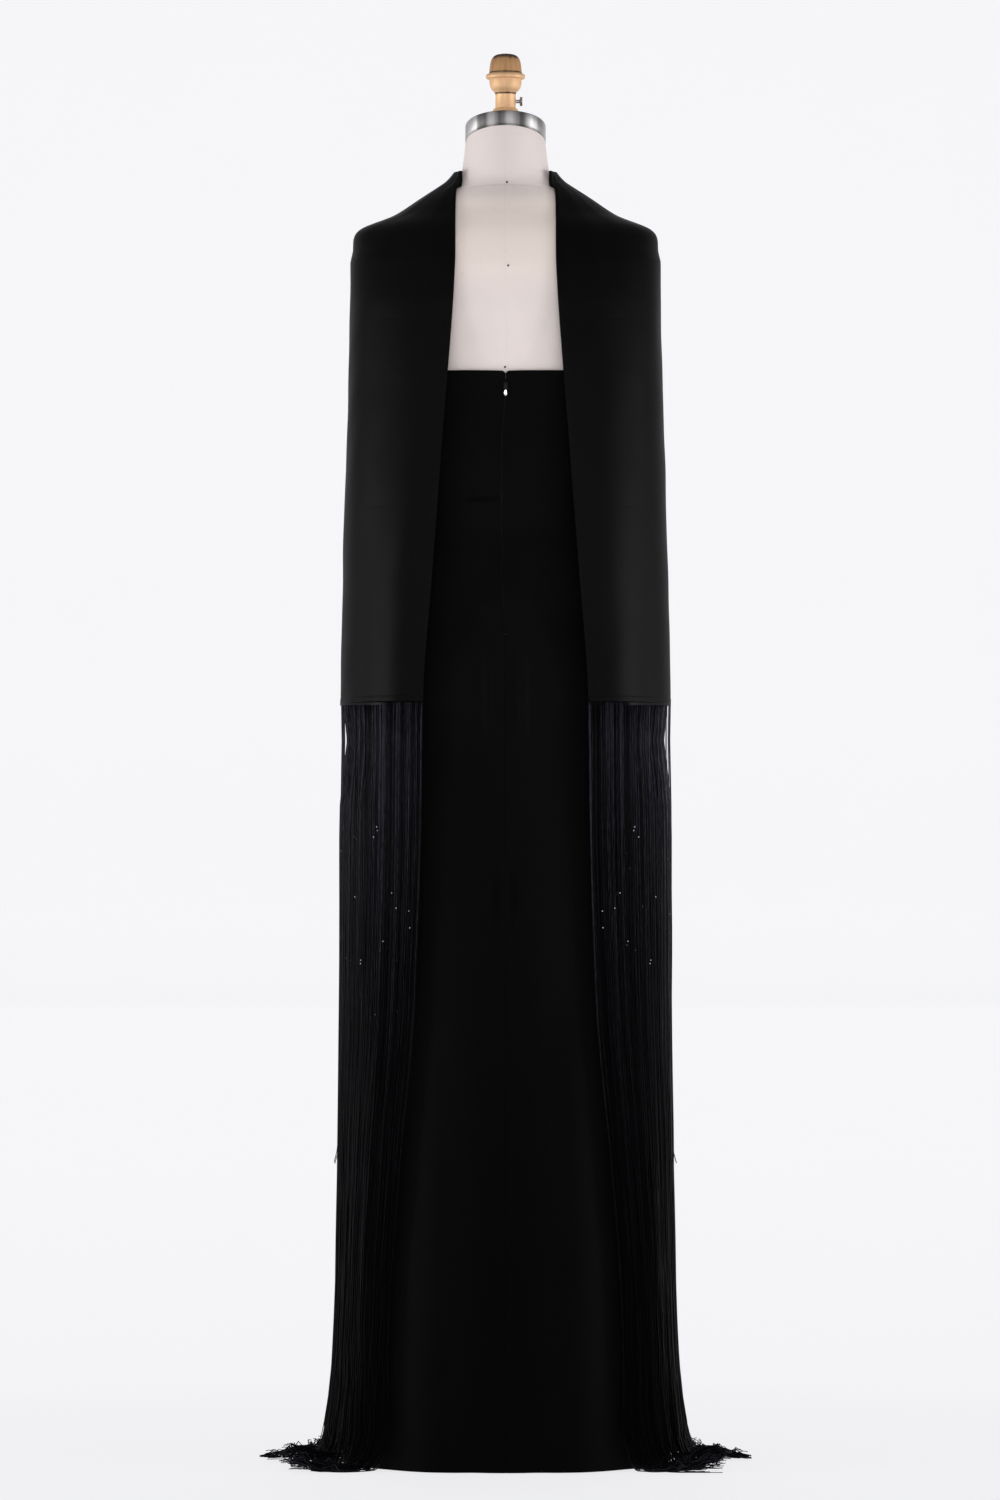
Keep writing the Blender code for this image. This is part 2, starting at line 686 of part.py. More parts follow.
def build_fringe():
    """Each scarf's fringe: a narrow strip under its hem, with strands that grow out of it."""
    top = SCARF_HEM - SEAM_GAP
    bottom = top - STRIP_HEIGHT
    stations = np.arange(STRANDS + 1) / STRANDS
    outer, outward = scarf_points(SCARF_HEM, stations)
    outer = outer + outward * (STRIP_WIDTH - CLOTH) / 2
    inner = outer - outward * STRIP_WIDTH
    paths = [strand_path(k) for k in range(STRANDS)]
    for side, sign in SIDES.items():
        points, faces = [], []
        for station in range(STRANDS + 1):
            for plan in (outer[station], inner[station]):
                points.append((plan[0], plan[1], top))
                points.append((plan[0], plan[1], bottom))
        for k in range(STRANDS):
            outer_top, outer_low, inner_top, inner_low = (4 * k + i for i in range(4))
            ahead = 4
            faces.append((outer_top, inner_top, inner_top + ahead, outer_top + ahead))
            faces.append((outer_top, outer_low, outer_low + ahead, outer_top + ahead))
            faces.append((inner_top, inner_low, inner_low + ahead, inner_top + ahead))
            add_strand(points, faces, k, paths[k], (outer_low, inner_low), bottom)
        last = 4 * STRANDS
        faces.append((0, 1, 3, 2))
        faces.append((last, last + 1, last + 3, last + 2))
        turned = np.array(points) * (sign, 1, 1)
        make_object(f"fringe_{side}", turned, faces, "fringe", smooth=False)


def add_strand(points, faces, index, path, corners, bottom):
    """Adds one three-sided strand, whose top ring is an opening in the underside of the strip."""
    outer_low, inner_low = corners
    root = np.array([points[outer_low], points[outer_low + 4], points[inner_low + 4], points[inner_low]])
    middle = root.mean(axis=0)
    side = (root[1] + root[2] - root[0] - root[3]) / 2
    side = side / np.linalg.norm(side)
    stations = np.vstack([[middle[0], middle[1], bottom], path])
    previous = None
    for k, place in enumerate(stations):
        course = stations[min(k + 1, len(stations) - 1)] - stations[max(k - 1, 0)]
        if k == 0:
            course = np.array([0.0, 0.0, -1.0])
        course = course / np.linalg.norm(course)
        across = side - course * np.dot(side, course)
        across /= np.linalg.norm(across)
        out = np.cross(across, course)
        if k == 0 and np.dot(out, root[0] - middle) < 0:
            out = -out
        elif k > 0 and np.dot(out, previous_out) < 0:
            out = -out
        previous_out = out
        start = len(points)
        points.append(tuple(place + STRAND_RADIUS * (0.5 * out - 0.866 * across)))
        points.append(tuple(place + STRAND_RADIUS * (0.5 * out + 0.866 * across)))
        points.append(tuple(place - STRAND_RADIUS * out))
        ring = (start, start + 1, start + 2)
        if previous is None:
            faces.append((outer_low, outer_low + 4, ring[1], ring[0]))
            faces.append((outer_low + 4, inner_low + 4, ring[2], ring[1]))
            faces.append((inner_low + 4, inner_low, ring[2]))
            faces.append((inner_low, outer_low, ring[0], ring[2]))
        else:
            for a in range(3):
                b = (a + 1) % 3
                faces.append((previous[a], previous[b], ring[b], ring[a]))
        previous = ring
    faces.append(previous)


def box_points(low, high):
    """The eight corners of a box."""
    return [(x, y, z) for x in (low[0], high[0]) for y in (low[1], high[1]) for z in (low[2], high[2])]


BOX_FACES = [(0, 1, 3, 2), (4, 6, 7, 5), (0, 4, 5, 1), (2, 3, 7, 6), (0, 2, 6, 4), (1, 5, 7, 3)]


def profile_solid(name, outline, low, high, finish, axis):
    """A flat outline carried along X from low to high, or along Y, as one solid."""
    if axis == "X":
        rings = [np.array([(reach, a, b) for a, b in outline]) for reach in (low, high)]
    else:
        rings = [np.array([(a, reach, b) for a, b in outline]) for reach in (low, high)]
    return make_object(name, *stacked_rings(rings), finish, smooth=False)


def build_zip(back):
    """The zip's slider, seated on the two backs below their top edge, and its hanging pull.

    The slider has an arch along its length. The pull's top bar lies in the arch, on the hinge axis.
    """
    centre_line = back[:, -1, 0]
    top, below = centre_line[-1], centre_line[-3]
    lean = math.atan2(top[1] - below[1], top[2] - below[2])
    height = BACK_TOP - SLIDER_DROP
    surface = np.interp(height, centre_line[:, 2], centre_line[:, 1])

    axis_out = SLIDER_THICK + ARCH_OPENING / 2
    leg = ARCH_BAR
    half = SLIDER_LENGTH / 2
    foot = 0.45 * half
    high = SLIDER_THICK + ARCH_OPENING
    outline = (
        (0.0, -half),
        (SLIDER_THICK, -half),
        (SLIDER_THICK, half),
        (0.0, half),
    )
    slider = profile_solid(
        "zip_slider", outline, -SLIDER_WIDTH / 2, SLIDER_WIDTH / 2, "zip_metal", "X"
    )
    sunk = 0.0004
    arch_outline = (
        (SLIDER_THICK - sunk, -foot - leg),
        (high, -foot - leg),
        (high + leg, -foot),
        (high + leg, foot),
        (high, foot + leg),
        (SLIDER_THICK - sunk, foot + leg),
        (SLIDER_THICK - sunk, foot),
        (high, foot),
        (high, -foot),
        (SLIDER_THICK - sunk, -foot),
    )
    arch = profile_solid("arch", arch_outline, -ARCH_WIDTH / 2, ARCH_WIDTH / 2, "zip_metal", "X")
    arch.hide_render = True
    arch.display_type = "WIRE"
    join = slider.modifiers.new("arch", "BOOLEAN")
    join.operation = "UNION"
    join.solver = "EXACT"
    join.object = arch
    seat = surface + SEAM_GAP / math.cos(lean)
    for piece in (slider, arch):
        piece.rotation_euler = (-lean, 0, 0)
        piece.location = (0, seat, height)

    bar = 0.00055
    window_half = ARCH_WIDTH / 2 + 0.0006
    window_drop = foot + leg + 0.0010
    rim = 0.0009
    blade = -PULL_LENGTH
    outer_half = PULL_WIDTH / 2
    neck_half = window_half + rim
    outline = (
        (-neck_half, bar),
        (neck_half, bar),
        (neck_half, -window_drop),
        (outer_half, -window_drop - 0.0022),
        (outer_half, blade + 0.0020),
        (outer_half - 0.0012, blade + 0.0004),
        (0.0, blade),
        (-outer_half + 0.0012, blade + 0.0004),
        (-outer_half, blade + 0.0020),
        (-outer_half, -window_drop - 0.0022),
        (-neck_half, -window_drop),
    )
    pull = profile_solid(
        "zip_pull", outline, -PULL_THICK / 2, PULL_THICK / 2, "zip_metal", "Y"
    )
    window = make_object(
        "pull_window",
        box_points((-window_half, -PULL_THICK, -window_drop), (window_half, PULL_THICK, -bar)),
        BOX_FACES,
        "zip_metal",
    )
    window.hide_render = True
    window.display_type = "WIRE"
    cut = pull.modifiers.new("window", "BOOLEAN")
    cut.operation = "DIFFERENCE"
    cut.solver = "EXACT"
    cut.object = window
    axis = (0, seat + axis_out * math.cos(lean), height - axis_out * math.sin(lean))
    pull.location = axis
    window.location = axis
    print("zip hinge axis at", [round(float(v), 5) for v in axis])


def main():
    """Builds every piece."""
    for old in list(bpy.data.objects):
        bpy.data.objects.remove(old)
    build_form()
    build_neck_metal()
    build_stand()
    back = build_gown()
    build_scarves()
    build_fringe()
    build_zip(back)


main()
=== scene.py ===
"""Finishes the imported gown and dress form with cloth, yarn, metal and a studio.

Everything is in metres and +Z is up. The gown's zipped back faces +Y, and the wearer's left is +X.
Cloth is worked out from horizontal sections. Each is a rounded outline with a half width to the
side, a depth to the back and to the front, and a number that says how square its corners are.
"""

import json
import math

import bmesh
import bpy
import numpy as np
from bpy.props import FloatProperty, FloatVectorProperty, IntProperty, PointerProperty
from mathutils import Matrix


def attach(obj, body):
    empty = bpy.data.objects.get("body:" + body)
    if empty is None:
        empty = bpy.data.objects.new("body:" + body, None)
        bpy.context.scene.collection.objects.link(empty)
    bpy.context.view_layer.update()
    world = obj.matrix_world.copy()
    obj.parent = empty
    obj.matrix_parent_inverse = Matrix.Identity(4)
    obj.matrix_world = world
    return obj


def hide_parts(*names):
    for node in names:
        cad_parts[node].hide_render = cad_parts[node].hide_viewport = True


bl_info = {
    "name": "Fringed gown on a dress form",
    "version": (1, 0, 0),
    "blender": (4, 5, 0),
    "location": "3D View > Sidebar > Gown",
    "description": "Cloth, fringe, metal and studio for a packed evening gown",
    "category": "Object",
}

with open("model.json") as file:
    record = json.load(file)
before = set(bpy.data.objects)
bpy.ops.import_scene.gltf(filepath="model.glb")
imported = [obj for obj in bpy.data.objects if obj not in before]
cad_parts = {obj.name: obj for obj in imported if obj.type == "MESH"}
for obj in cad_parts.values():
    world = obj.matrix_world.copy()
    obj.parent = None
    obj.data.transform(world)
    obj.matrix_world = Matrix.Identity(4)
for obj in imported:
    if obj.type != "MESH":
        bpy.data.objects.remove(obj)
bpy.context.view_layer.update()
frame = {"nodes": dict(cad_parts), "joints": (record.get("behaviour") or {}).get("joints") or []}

ROOT = "form_and_gown"
SIDES = {"left": 1, "right": -1}

FORM_BOTTOM = 0.860
WAIST = 1.167
BACK_TOP = 1.352
SIDE_TOP = 1.372
FRONT_TOP = 1.408
SCARF_HEM = 0.944
SCARF_TOP = 1.606
NECK_TOP = 1.6445
NECK_MIDDLE = -0.008
NECK_SLOPE = 0.34
CAP_SLOPE = 0.285
CAP_HEIGHT = 0.0215
SCREW_HEIGHT = 1.6965
ZIP_FOOT = 1.0275
PIN_RADIUS = 0.0014

# How far cloth stands out from the form, the gap at a seam, and how low cloth and yarn may lie
CLOTH_OUT = 0.0028
SEAM_GAP = 0.0003
FLOOR_CLEAR = 0.001
LIE_LEVEL = 0.0014

# A direction that no yarn or edge runs along
ANY_WAY = (0.36, 0.93, 0.11)

# What a flat cut is allowed for folds, beside its measured sides, and on its measured area
CUT_SPARE = 0.004

BODY_COLUMNS = ("height", "side", "back", "front", "middle", "square", "slope")
BODY = (
    (FORM_BOTTOM, 0.1640, 0.1080, 0.0960, 0.000, 2.40, 0.00),
    (0.9000, 0.1700, 0.1185, 0.0990, 0.000, 2.40, 0.00),
    (0.9670, 0.1720, 0.1265, 0.1010, 0.000, 2.40, 0.00),
    (1.0600, 0.1520, 0.1125, 0.0990, 0.000, 2.30, 0.00),
    (1.1200, 0.1290, 0.0925, 0.0910, 0.000, 2.25, 0.00),
    (WAIST, 0.1190, 0.0800, 0.0860, 0.000, 2.20, 0.00),
    (1.2150, 0.1230, 0.0820, 0.0890, 0.000, 2.20, 0.00),
    (1.2700, 0.1370, 0.0920, 0.0990, 0.000, 2.30, 0.00),
    (1.3270, 0.1500, 0.1010, 0.1060, 0.000, 2.40, 0.00),
    (1.3800, 0.1580, 0.1090, 0.1040, 0.000, 2.40, 0.00),
    (1.4400, 0.1680, 0.1130, 0.0960, 0.000, 2.30, 0.00),
    (1.4800, 0.1810, 0.1080, 0.0860, 0.000, 2.15, 0.00),
    (1.5050, 0.1880, 0.1000, 0.0780, 0.000, 2.05, 0.00),
    (1.5220, 0.1875, 0.0930, 0.0720, 0.000, 1.95, 0.00),
    (1.5320, 0.1810, 0.0880, 0.0680, 0.000, 1.85, 0.00),
    (1.5385, 0.1690, 0.0840, 0.0650, 0.000, 1.80, 0.00),
    (1.5450, 0.1460, 0.0800, 0.0620, 0.000, 1.80, 0.00),
    (1.5545, 0.1285, 0.0740, 0.0590, -0.001, 1.85, 0.00),
    (1.5695, 0.1065, 0.0650, 0.0560, -0.002, 1.90, 0.00),
    (1.5845, 0.0835, 0.0560, 0.0535, -0.004, 1.95, 0.00),
    (1.5920, 0.0720, 0.0530, 0.0525, -0.005, 2.00, 0.00),
    (1.5995, 0.0625, 0.0520, 0.0520, -0.006, 2.00, 0.02),
    (1.6090, 0.0548, 0.0522, 0.0522, -0.007, 2.00, 0.08),
    (1.6260, 0.0520, 0.0515, 0.0515, NECK_MIDDLE, 2.00, 0.22),
    (NECK_TOP, 0.0498, 0.0498, 0.0498, NECK_MIDDLE, 2.00, NECK_SLOPE),
)

SKIRT_COLUMNS = ("height", "side", "back", "front", "square")
SKIRT = (
    (0.0000, 0.2040, 0.1560, 0.1500, 2.50),
    (0.1200, 0.1970, 0.1500, 0.1430, 2.50),
    (0.3000, 0.1890, 0.1430, 0.1340, 2.45),
    (0.5500, 0.1830, 0.1370, 0.1230, 2.40),
    (0.8000, 0.1785, 0.1330, 0.1110, 2.40),
    (0.9670, 0.1755, 0.1300, 0.1045, 2.40),
)

HANG_COLUMNS = ("height", "side", "back", "front", "square", "edge_back", "edge_front")
HANG = (
    (0.0200, 0.2260, 0.1620, 0.1640, 2.50, 0.1440, 0.1400),
    (0.1000, 0.2150, 0.1570, 0.1600, 2.50, 0.1440, 0.1370),
    (0.2000, 0.2095, 0.1530, 0.1560, 2.50, 0.1420, 0.1320),
    (0.3700, 0.2060, 0.1470, 0.1510, 2.55, 0.1300, 0.1220),
    (0.5800, 0.2035, 0.1420, 0.1470, 2.60, 0.1110, 0.1080),
    (0.8000, 0.2028, 0.1400, 0.1450, 2.65, 0.1035, 0.1010),
    (SCARF_HEM, 0.2025, 0.1385, 0.1440, 2.70, 0.1015, 0.0980),
    (1.1000, 0.2005, 0.1345, 0.1430, 2.70, 0.0905, 0.0900),
    (1.2000, 0.1990, 0.1310, 0.1420, 2.60, 0.0830, 0.0840),
    (1.3000, 0.1970, 0.1265, 0.1410, 2.50, 0.0755, 0.0790),
    (1.3600, 0.1955, 0.1240, 0.1340, 2.45, 0.0705, 0.0750),
    (1.4200, 0.1945, 0.1195, 0.1180, 2.40, 0.0660, 0.0720),
    (1.4600, 0.1940, 0.1150, 0.1000, 2.30, 0.0635, 0.0690),
    (1.4975, 0.1938, 0.1010, 0.0800, 2.20, 0.0620, 0.0660),
    (1.5600, 0.0500, 0.0500, 0.0500, 2.20, 0.0622, 0.0610),
    (1.5835, 0.0500, 0.0500, 0.0500, 2.20, 0.0612, 0.0600),
    (1.5865, 0.0500, 0.0500, 0.0500, 2.20, 0.0548, 0.0545),
    (SCARF_TOP, 0.0500, 0.0500, 0.0500, 2.20, 0.0535, 0.0530),
)

# Folds: place across the cloth, width in the same measure, height where it fades out, depth at hem
FOLD_COLUMNS = ("place", "width", "fade", "depth")
SKIRT_FOLDS = (
    (0.06, 0.045, 0.80, 0.0030),
    (0.19, 0.050, 0.62, -0.0035),
    (0.32, 0.055, 0.85, 0.0040),
    (0.47, 0.050, 0.70, -0.0030),
    (0.62, 0.050, 0.88, 0.0030),
    (0.74, 0.040, 0.66, -0.0035),
    (0.84, 0.035, 0.94, 0.0030),
    (0.93, 0.030, 0.72, -0.0030),
)
SCARF_FOLDS = (
    (0.10, 0.060, 1.44, 0.0030),
    (0.27, 0.070, 1.36, -0.0040),
    (0.44, 0.060, 1.50, 0.0035),
    (0.63, 0.070, 1.34, -0.0035),
    (0.86, 0.070, 1.40, 0.0040),
)

# Short creases pressed into the gown's back: height, side (1 is the left), start and end along X,
# how much they drop on the way, their depth, and 1 where the cloth folds over its lower edge. The
# front has like ones, a little lower and with the sides changed over.
CREASE_COLUMNS = ("height", "side", "start", "end", "drop", "depth", "over")
CREASES = (
    (1.1955, 1, 0.008, 0.056, 0.001, 0.0036, 1),
    (1.1800, 1, 0.030, 0.080, 0.006, 0.0013, 0),
    (1.2080, -1, 0.022, 0.072, 0.005, -0.0012, 0),
    (1.1580, -1, 0.012, 0.064, -0.004, -0.0012, 0),
    (1.2400, 1, 0.036, 0.084, 0.010, 0.0010, 0),
    (1.3020, -1, 0.018, 0.058, 0.003, 0.0009, 0),
    (1.0640, 1, 0.006, 0.036, 0.002, 0.0010, 0),
)

# Seams that are closed by a strip of the cloth's own allowance behind them: the front or back (-1
# or 1), the column of the panel's grid, and the axis that the strip is wide along
SEAMS = {"centre_back": (1, -1, 0), "centre_front": (-1, 0, 0), "side": (1, 0, 1)}

# Turned outline of the knob: radius and height
KNOB = (
    (0.0166, 1.6680), (0.0166, 1.6842), (0.0150, 1.6868), (0.0129, 1.6882), (0.0127, 1.6900),
    (0.0127, 1.7050), (0.0131, 1.7066), (0.0144, 1.7084), (0.0168, 1.7106), (0.0186, 1.7134),
    (0.0196, 1.7168), (0.0201, 1.7204), (0.0202, 1.7236), (0.0212, 1.7243), (0.0238, 1.7250),
    (0.0244, 1.7260), (0.0246, 1.7275), (0.0244, 1.7290), (0.0238, 1.7300), (0.0212, 1.7312),
    (0.0204, 1.7326), (0.0202, 1.7350), (0.0197, 1.7400), (0.0190, 1.7446), (0.0180, 1.7482),
    (0.0164, 1.7512), (0.0142, 1.7534), (0.0110, 1.7549), (0.0070, 1.7557), (0.0030, 1.7558),
)

# Ropes of yarn on the floor: place along Y, where the rope ends along X, thickness, and the share
# of its yarns that end in a curl
ROPE_COLUMNS = ("aim", "end", "size", "curled")
ROPES = (
    (-0.115, 0.2420, 0.28, 0.30),
    (-0.052, 0.2560, 0.40, 0.30),
    (0.012, 0.3070, 0.75, 0.15),
    (0.070, 0.2810, 1.10, 0.75),
    (0.125, 0.2680, 0.75, 0.45),
)

# Bright beads seen among the yarns: place along X and height
BRIGHT_BEADS = (
    (0.1595, 0.7905), (0.1580, 0.7860), (0.1632, 0.7780), (0.1406, 0.7095), (0.1344, 0.6910),
    (0.1856, 0.7035), (0.1181, 0.6875), (0.1183, 0.6670), (0.1506, 0.6500), (0.1794, 0.6255),
    (0.1786, 0.6215),
)

# Pins in the form's back: place along X and height
PINS = ((-0.0018, 1.5900), (-0.0031, 1.4815), (0.0008, 1.3565))


# Sections and folds


def table(columns, rows):
    """A table as one array for each column name."""
    return dict(zip(columns, np.array(rows, float).T))


def records(columns, rows):
    """A table as one dictionary for each row."""
    return [dict(zip(columns, row)) for row in rows]


def angles(count):
    """Even angles round a circle."""
    return np.arange(count) * 2 * math.pi / count


def squared(wave, power):
    """A sine or cosine pressed towards a square wave: its sign times its size to a power."""
    return np.sign(wave) * np.abs(wave) ** power


def unit(vectors):
    """Vectors brought to length 1, apart from any that are next to nothing."""
    return vectors / np.maximum(np.linalg.norm(vectors, axis=-1, keepdims=True), 1e-12)


def steps(grid, axis):
    """The distances between neighbours along one axis of a grid of points."""
    return np.linalg.norm(np.diff(grid, axis=axis), axis=2)


def with_height(flat, height):
    """A grid of x and y with heights, which are spread over the grid where they are fewer."""
    return np.concatenate([flat, np.broadcast_to(height, flat.shape[:2])[:, :, None]], axis=2)


def through(knots, values, at):
    """A smooth curve through the values: a cubic between two knots, which swings past neither.

    Its slope at a knot is the harmonic mean of the slopes beside it, or level at a turning point.
    """
    at = np.clip(at, knots[0], knots[-1])
    step = np.diff(knots)
    slope = np.diff(values) / step
    both = slope[:-1] * slope[1:]
    inner = np.where(both > 0, 2 * both / np.where(both > 0, slope[:-1] + slope[1:], 1), 0)
    tangent = np.concatenate([slope[:1], inner, slope[-1:]])
    k = np.clip(np.searchsorted(knots, at, side="right") - 1, 0, len(step) - 1)
    t = (at - knots[k]) / step[k]
    rise = (1 + 2 * t) * (1 - t) ** 2 * values[k] + t * t * (3 - 2 * t) * values[k + 1]
    lean = t * (1 - t) ** 2 * tangent[k] - t * t * (1 - t) * tangent[k + 1]
    return rise + lean * step[k]


def sections(rows, height):
    """A table's columns at each of an array of heights."""
    return {n: through(rows["height"], v, height) for n, v in rows.items() if n != "height"}


BODY_TABLE = table(BODY_COLUMNS, BODY)
SKIRT_TABLE = table(SKIRT_COLUMNS, SKIRT)
HANG_TABLE = table(HANG_COLUMNS, HANG)


def smooth(value):
    """0 below 0, 1 above 1, and 3t^2 - 2t^3 between."""
    t = np.clip(value, 0, 1)
    return t * t * (3 - 2 * t)


def bell(value):
    """e to the minus value squared."""
    return np.exp(-value * value)


def quarter(section, height, way, swell=True, samples=90):
    """Outlines from the side to the middle of the back (1) or front (-1), one row for each height.

    At an angle a from the side, x is the half width times cos(a)^(2/s) and y is the depth times
    sin(a)^(2/s), where s says how square the section is. In front the bust adds two bell shapes.
    """
    angle = np.linspace(0, math.pi / 2, samples)
    power = 2 / section["square"][:, None]
    x = section["side"][:, None] * np.cos(angle) ** power
    x[:, -1] = 0
    depth = section["back" if way > 0 else "front"][:, None]
    y = section["middle"][:, None] + way * depth * np.sin(angle) ** power
    if swell and way < 0:
        bust = bell((x - 0.078) / 0.05) * bell((height[:, None] - 1.325) / 0.06)
        y -= 0.026 * bust * np.sin(angle)
    return np.stack([x, y], axis=2)


def spaced(lines, fractions, trim=(0.0, 0.0)):
    """Points at fractions of each line's length, after a trim at its two ends."""
    fractions = np.broadcast_to(fractions, (len(lines), np.shape(fractions)[-1]))
    found = []
    for line, places in zip(lines, fractions):
        reach = np.concatenate([[0], np.cumsum(np.linalg.norm(np.diff(line, axis=0), axis=1))])
        at = trim[0] + places * (reach[-1] - trim[0] - trim[1])
        found.append(np.stack([np.interp(at, reach, line[:, k]) for k in (0, 1)], axis=1))
    return np.array(found)


def folds(rows, place, height, lowest):
    """Soft folds as heights: each is a bell across the cloth, which grows down to the hem."""
    total = np.zeros(np.broadcast(place, height).shape)
    for fold in records(FOLD_COLUMNS, rows):
        grow = smooth((fold["fade"] - height) / (fold["fade"] - lowest))
        total = total + fold["depth"] * grow * bell((place - fold["place"]) / fold["width"])
    return total


def ripples(place, height, scale, seed):
    """A sum of slow waves in both directions with seeded phases, between about -1 and 1."""
    draw = np.random.default_rng(seed)
    total = 0.0
    for _ in range(7):
        a, b, phase = draw.normal(0, 1, 2).tolist() + [draw.uniform(0, 2 * math.pi)]
        total = total + np.sin(2 * math.pi * (a * place + b * height) / scale + phase)
    return total / 4


def normals(grid, outward):
    """Unit normals of a grid of points, on the side that the outward vectors point to."""
    normal = unit(np.cross(np.gradient(grid, axis=0), np.gradient(grid, axis=1)))
    turned = np.sign((normal * outward).sum(axis=2))
    return normal * np.where(turned == 0, 1, turned)[:, :, None]


# Meshes


def grid_faces(rows, columns, start=0, closed=False):
    """The four-sided faces of a grid of points, joined round in the second direction if closed."""
    r, c = np.mgrid[0 : rows - 1, 0 : columns - (not closed)]
    after = (c + 1) % columns
    low, high = r * columns + start, (r + 1) * columns + start
    return np.stack([low + c, low + after, high + after, high + c], axis=-1).reshape(-1, 4)


def meshed(name, points, faces, material):
    """A mesh object at the origin."""
    mesh = bpy.data.meshes.new(name)
    mesh.from_pydata(np.reshape(points, (-1, 3)).tolist(), [], [list(f) for f in faces])
    mesh.materials.append(material)
    made = bpy.data.objects.new(name, mesh)
    bpy.context.scene.collection.objects.link(made)
    return made


def finished(
    name, points, faces, material, slot, body=ROOT, uv=None, tone=None, angle=40, turn=True
):
    """A piece with its finish, which rides on its body.

    It may carry a UV map and a tone for each point. Edges sharper than the angle stay sharp.
    """
    made = meshed(name, points, faces, material)
    mesh = made.data
    if uv is not None or tone is not None:
        corner = np.zeros(len(mesh.loops), np.int32)
        mesh.loops.foreach_get("vertex_index", corner)
    if uv is not None:
        layer = mesh.uv_layers.new(name="cloth")
        layer.uv.foreach_set("vector", np.reshape(uv, (-1, 2))[corner].astype(np.float32).ravel())
    if tone is not None:
        held = mesh.attributes.new("tone", "FLOAT", "POINT")
        held.data.foreach_set("value", np.ravel(tone).astype(np.float32))
    if turn:
        work = bmesh.new()
        work.from_mesh(mesh)
        bmesh.ops.recalc_face_normals(work, faces=work.faces)
        work.to_mesh(mesh)
        work.free()
    mesh.shade_smooth()
    mesh.set_sharp_from_angle(angle=math.radians(angle))
    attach(made, body)
    return made


def cloth(name, outer, outward, thick, material, slot, uv, seams=()):
    """Closed cloth: an outer grid, the same grid moved in by its thickness, and its four edges."""
    rows, columns = outer.shape[:2]
    normal = normals(outer, outward)
    for column, axis in seams:
        normal[:, column, axis] = 0
        normal[:, column] = unit(normal[:, column])
    inner = outer - normal * thick
    inner[:, :, 2] = np.maximum(inner[:, :, 2], FLOOR_CLEAR)
    size = rows * columns
    index = np.arange(size).reshape(rows, columns)
    faces = [grid_faces(rows, columns), grid_faces(rows, columns, size)[:, ::-1]]
    for edge in (index[0], index[-1], index[:, 0], index[:, -1]):
        faces.append(np.stack([edge[:-1], edge[:-1] + size, edge[1:] + size, edge[1:]], axis=1))
    points = np.stack([outer, inner])
    return finished(name, points, np.concatenate(faces), material, slot, uv=np.stack([uv, uv]))


def cloth_uv(grid):
    """Metres along each row and each column of a grid, as a UV map."""
    across = np.linalg.norm(np.diff(grid, axis=1, prepend=grid[:, :1]), axis=2).cumsum(axis=1)
    up = np.linalg.norm(np.diff(grid, axis=0, prepend=grid[:1]), axis=2).cumsum(axis=0)
    return np.stack([across, up], axis=2)


def loft(rings, caps=True):
    """Points and faces of a solid through closed rings of equal count, with flat end caps."""
    rings = np.array(rings)
    rows, count = rings.shape[:2]
    faces = [list(f) for f in grid_faces(rows, count, closed=True)]
    if caps:
        faces += [list(range(count)), list(range((rows - 1) * count, rows * count))]
    return rings.reshape(-1, 3), faces


def turned_rings(profile, count, slope=None):
    """Rings round the neck's axis from pairs of radius and height, each tilted by its slope."""
    turn = angles(count)
    radius, height = np.array(profile, float).T
    tilt = np.zeros(len(radius)) if slope is None else np.array(slope)
    x = radius[:, None] * np.cos(turn)
    y = radius[:, None] * np.sin(turn)
    return np.stack([x, y + NECK_MIDDLE, height[:, None] + tilt[:, None] * y], axis=2)


def tubes(paths, radius, sides=3):
    """Points and faces of thin tubes along many paths of equal count.

    Round each point of a path a ring of the given number of corners lies square to the path.
    """
    strands, rows = paths.shape[:2]
    course = unit(np.gradient(paths, axis=1))
    across = unit(np.cross(course, ANY_WAY))
    other = np.cross(course, across)
    turn = angles(sides)[:, None]
    corners = across[:, :, None] * np.cos(turn) + other[:, :, None] * np.sin(turn)
    wide = np.broadcast_to(radius, (strands, rows))[:, :, None, None]
    points = paths[:, :, None] + corners * wide
    start = np.arange(strands)[:, None] * rows * sides
    walls = grid_faces(rows, sides, closed=True) + start[:, :, None]
    ends = np.arange(sides)
    caps = [start + ends[::-1], start + (rows - 1) * sides + ends]
    return points, [list(f) for group in (walls.reshape(-1, 4), *caps) for f in group]


# Finishes


class Socket:
    """An output of a material's node, which works in Python expressions."""

    def __init__(self, finish, socket):
        self.finish = finish
        self.socket = socket

    def maths(self, operation, *others):
        values = dict(enumerate((self, *others)))
        return self.finish.node("ShaderNodeMath", {"operation": operation}, values)

    def __add__(self, other):
        return self.maths("ADD", other)

    def __sub__(self, other):
        return self.maths("SUBTRACT", other)

    def __rsub__(self, other):
        return (self * -1) + other

    def __mul__(self, other):
        return self.maths("MULTIPLY", other)

    def __abs__(self):
        return self.maths("ABSOLUTE")

    __radd__ = __add__
    __rmul__ = __mul__

    def wave(self, length):
        """The sine of the value over a wavelength."""
        return (self * (2 * math.pi / length)).maths("SINE")

    def between(self, low, high):
        """0 at low and 1 at high, held outside, with low above high to turn it round."""
        settings = {"interpolation_type": "SMOOTHSTEP"}
        sign = 1 if high > low else -1
        held = {0: self * sign, 1: low * sign, 2: high * sign}
        return self.finish.node("ShaderNodeMapRange", settings, held)


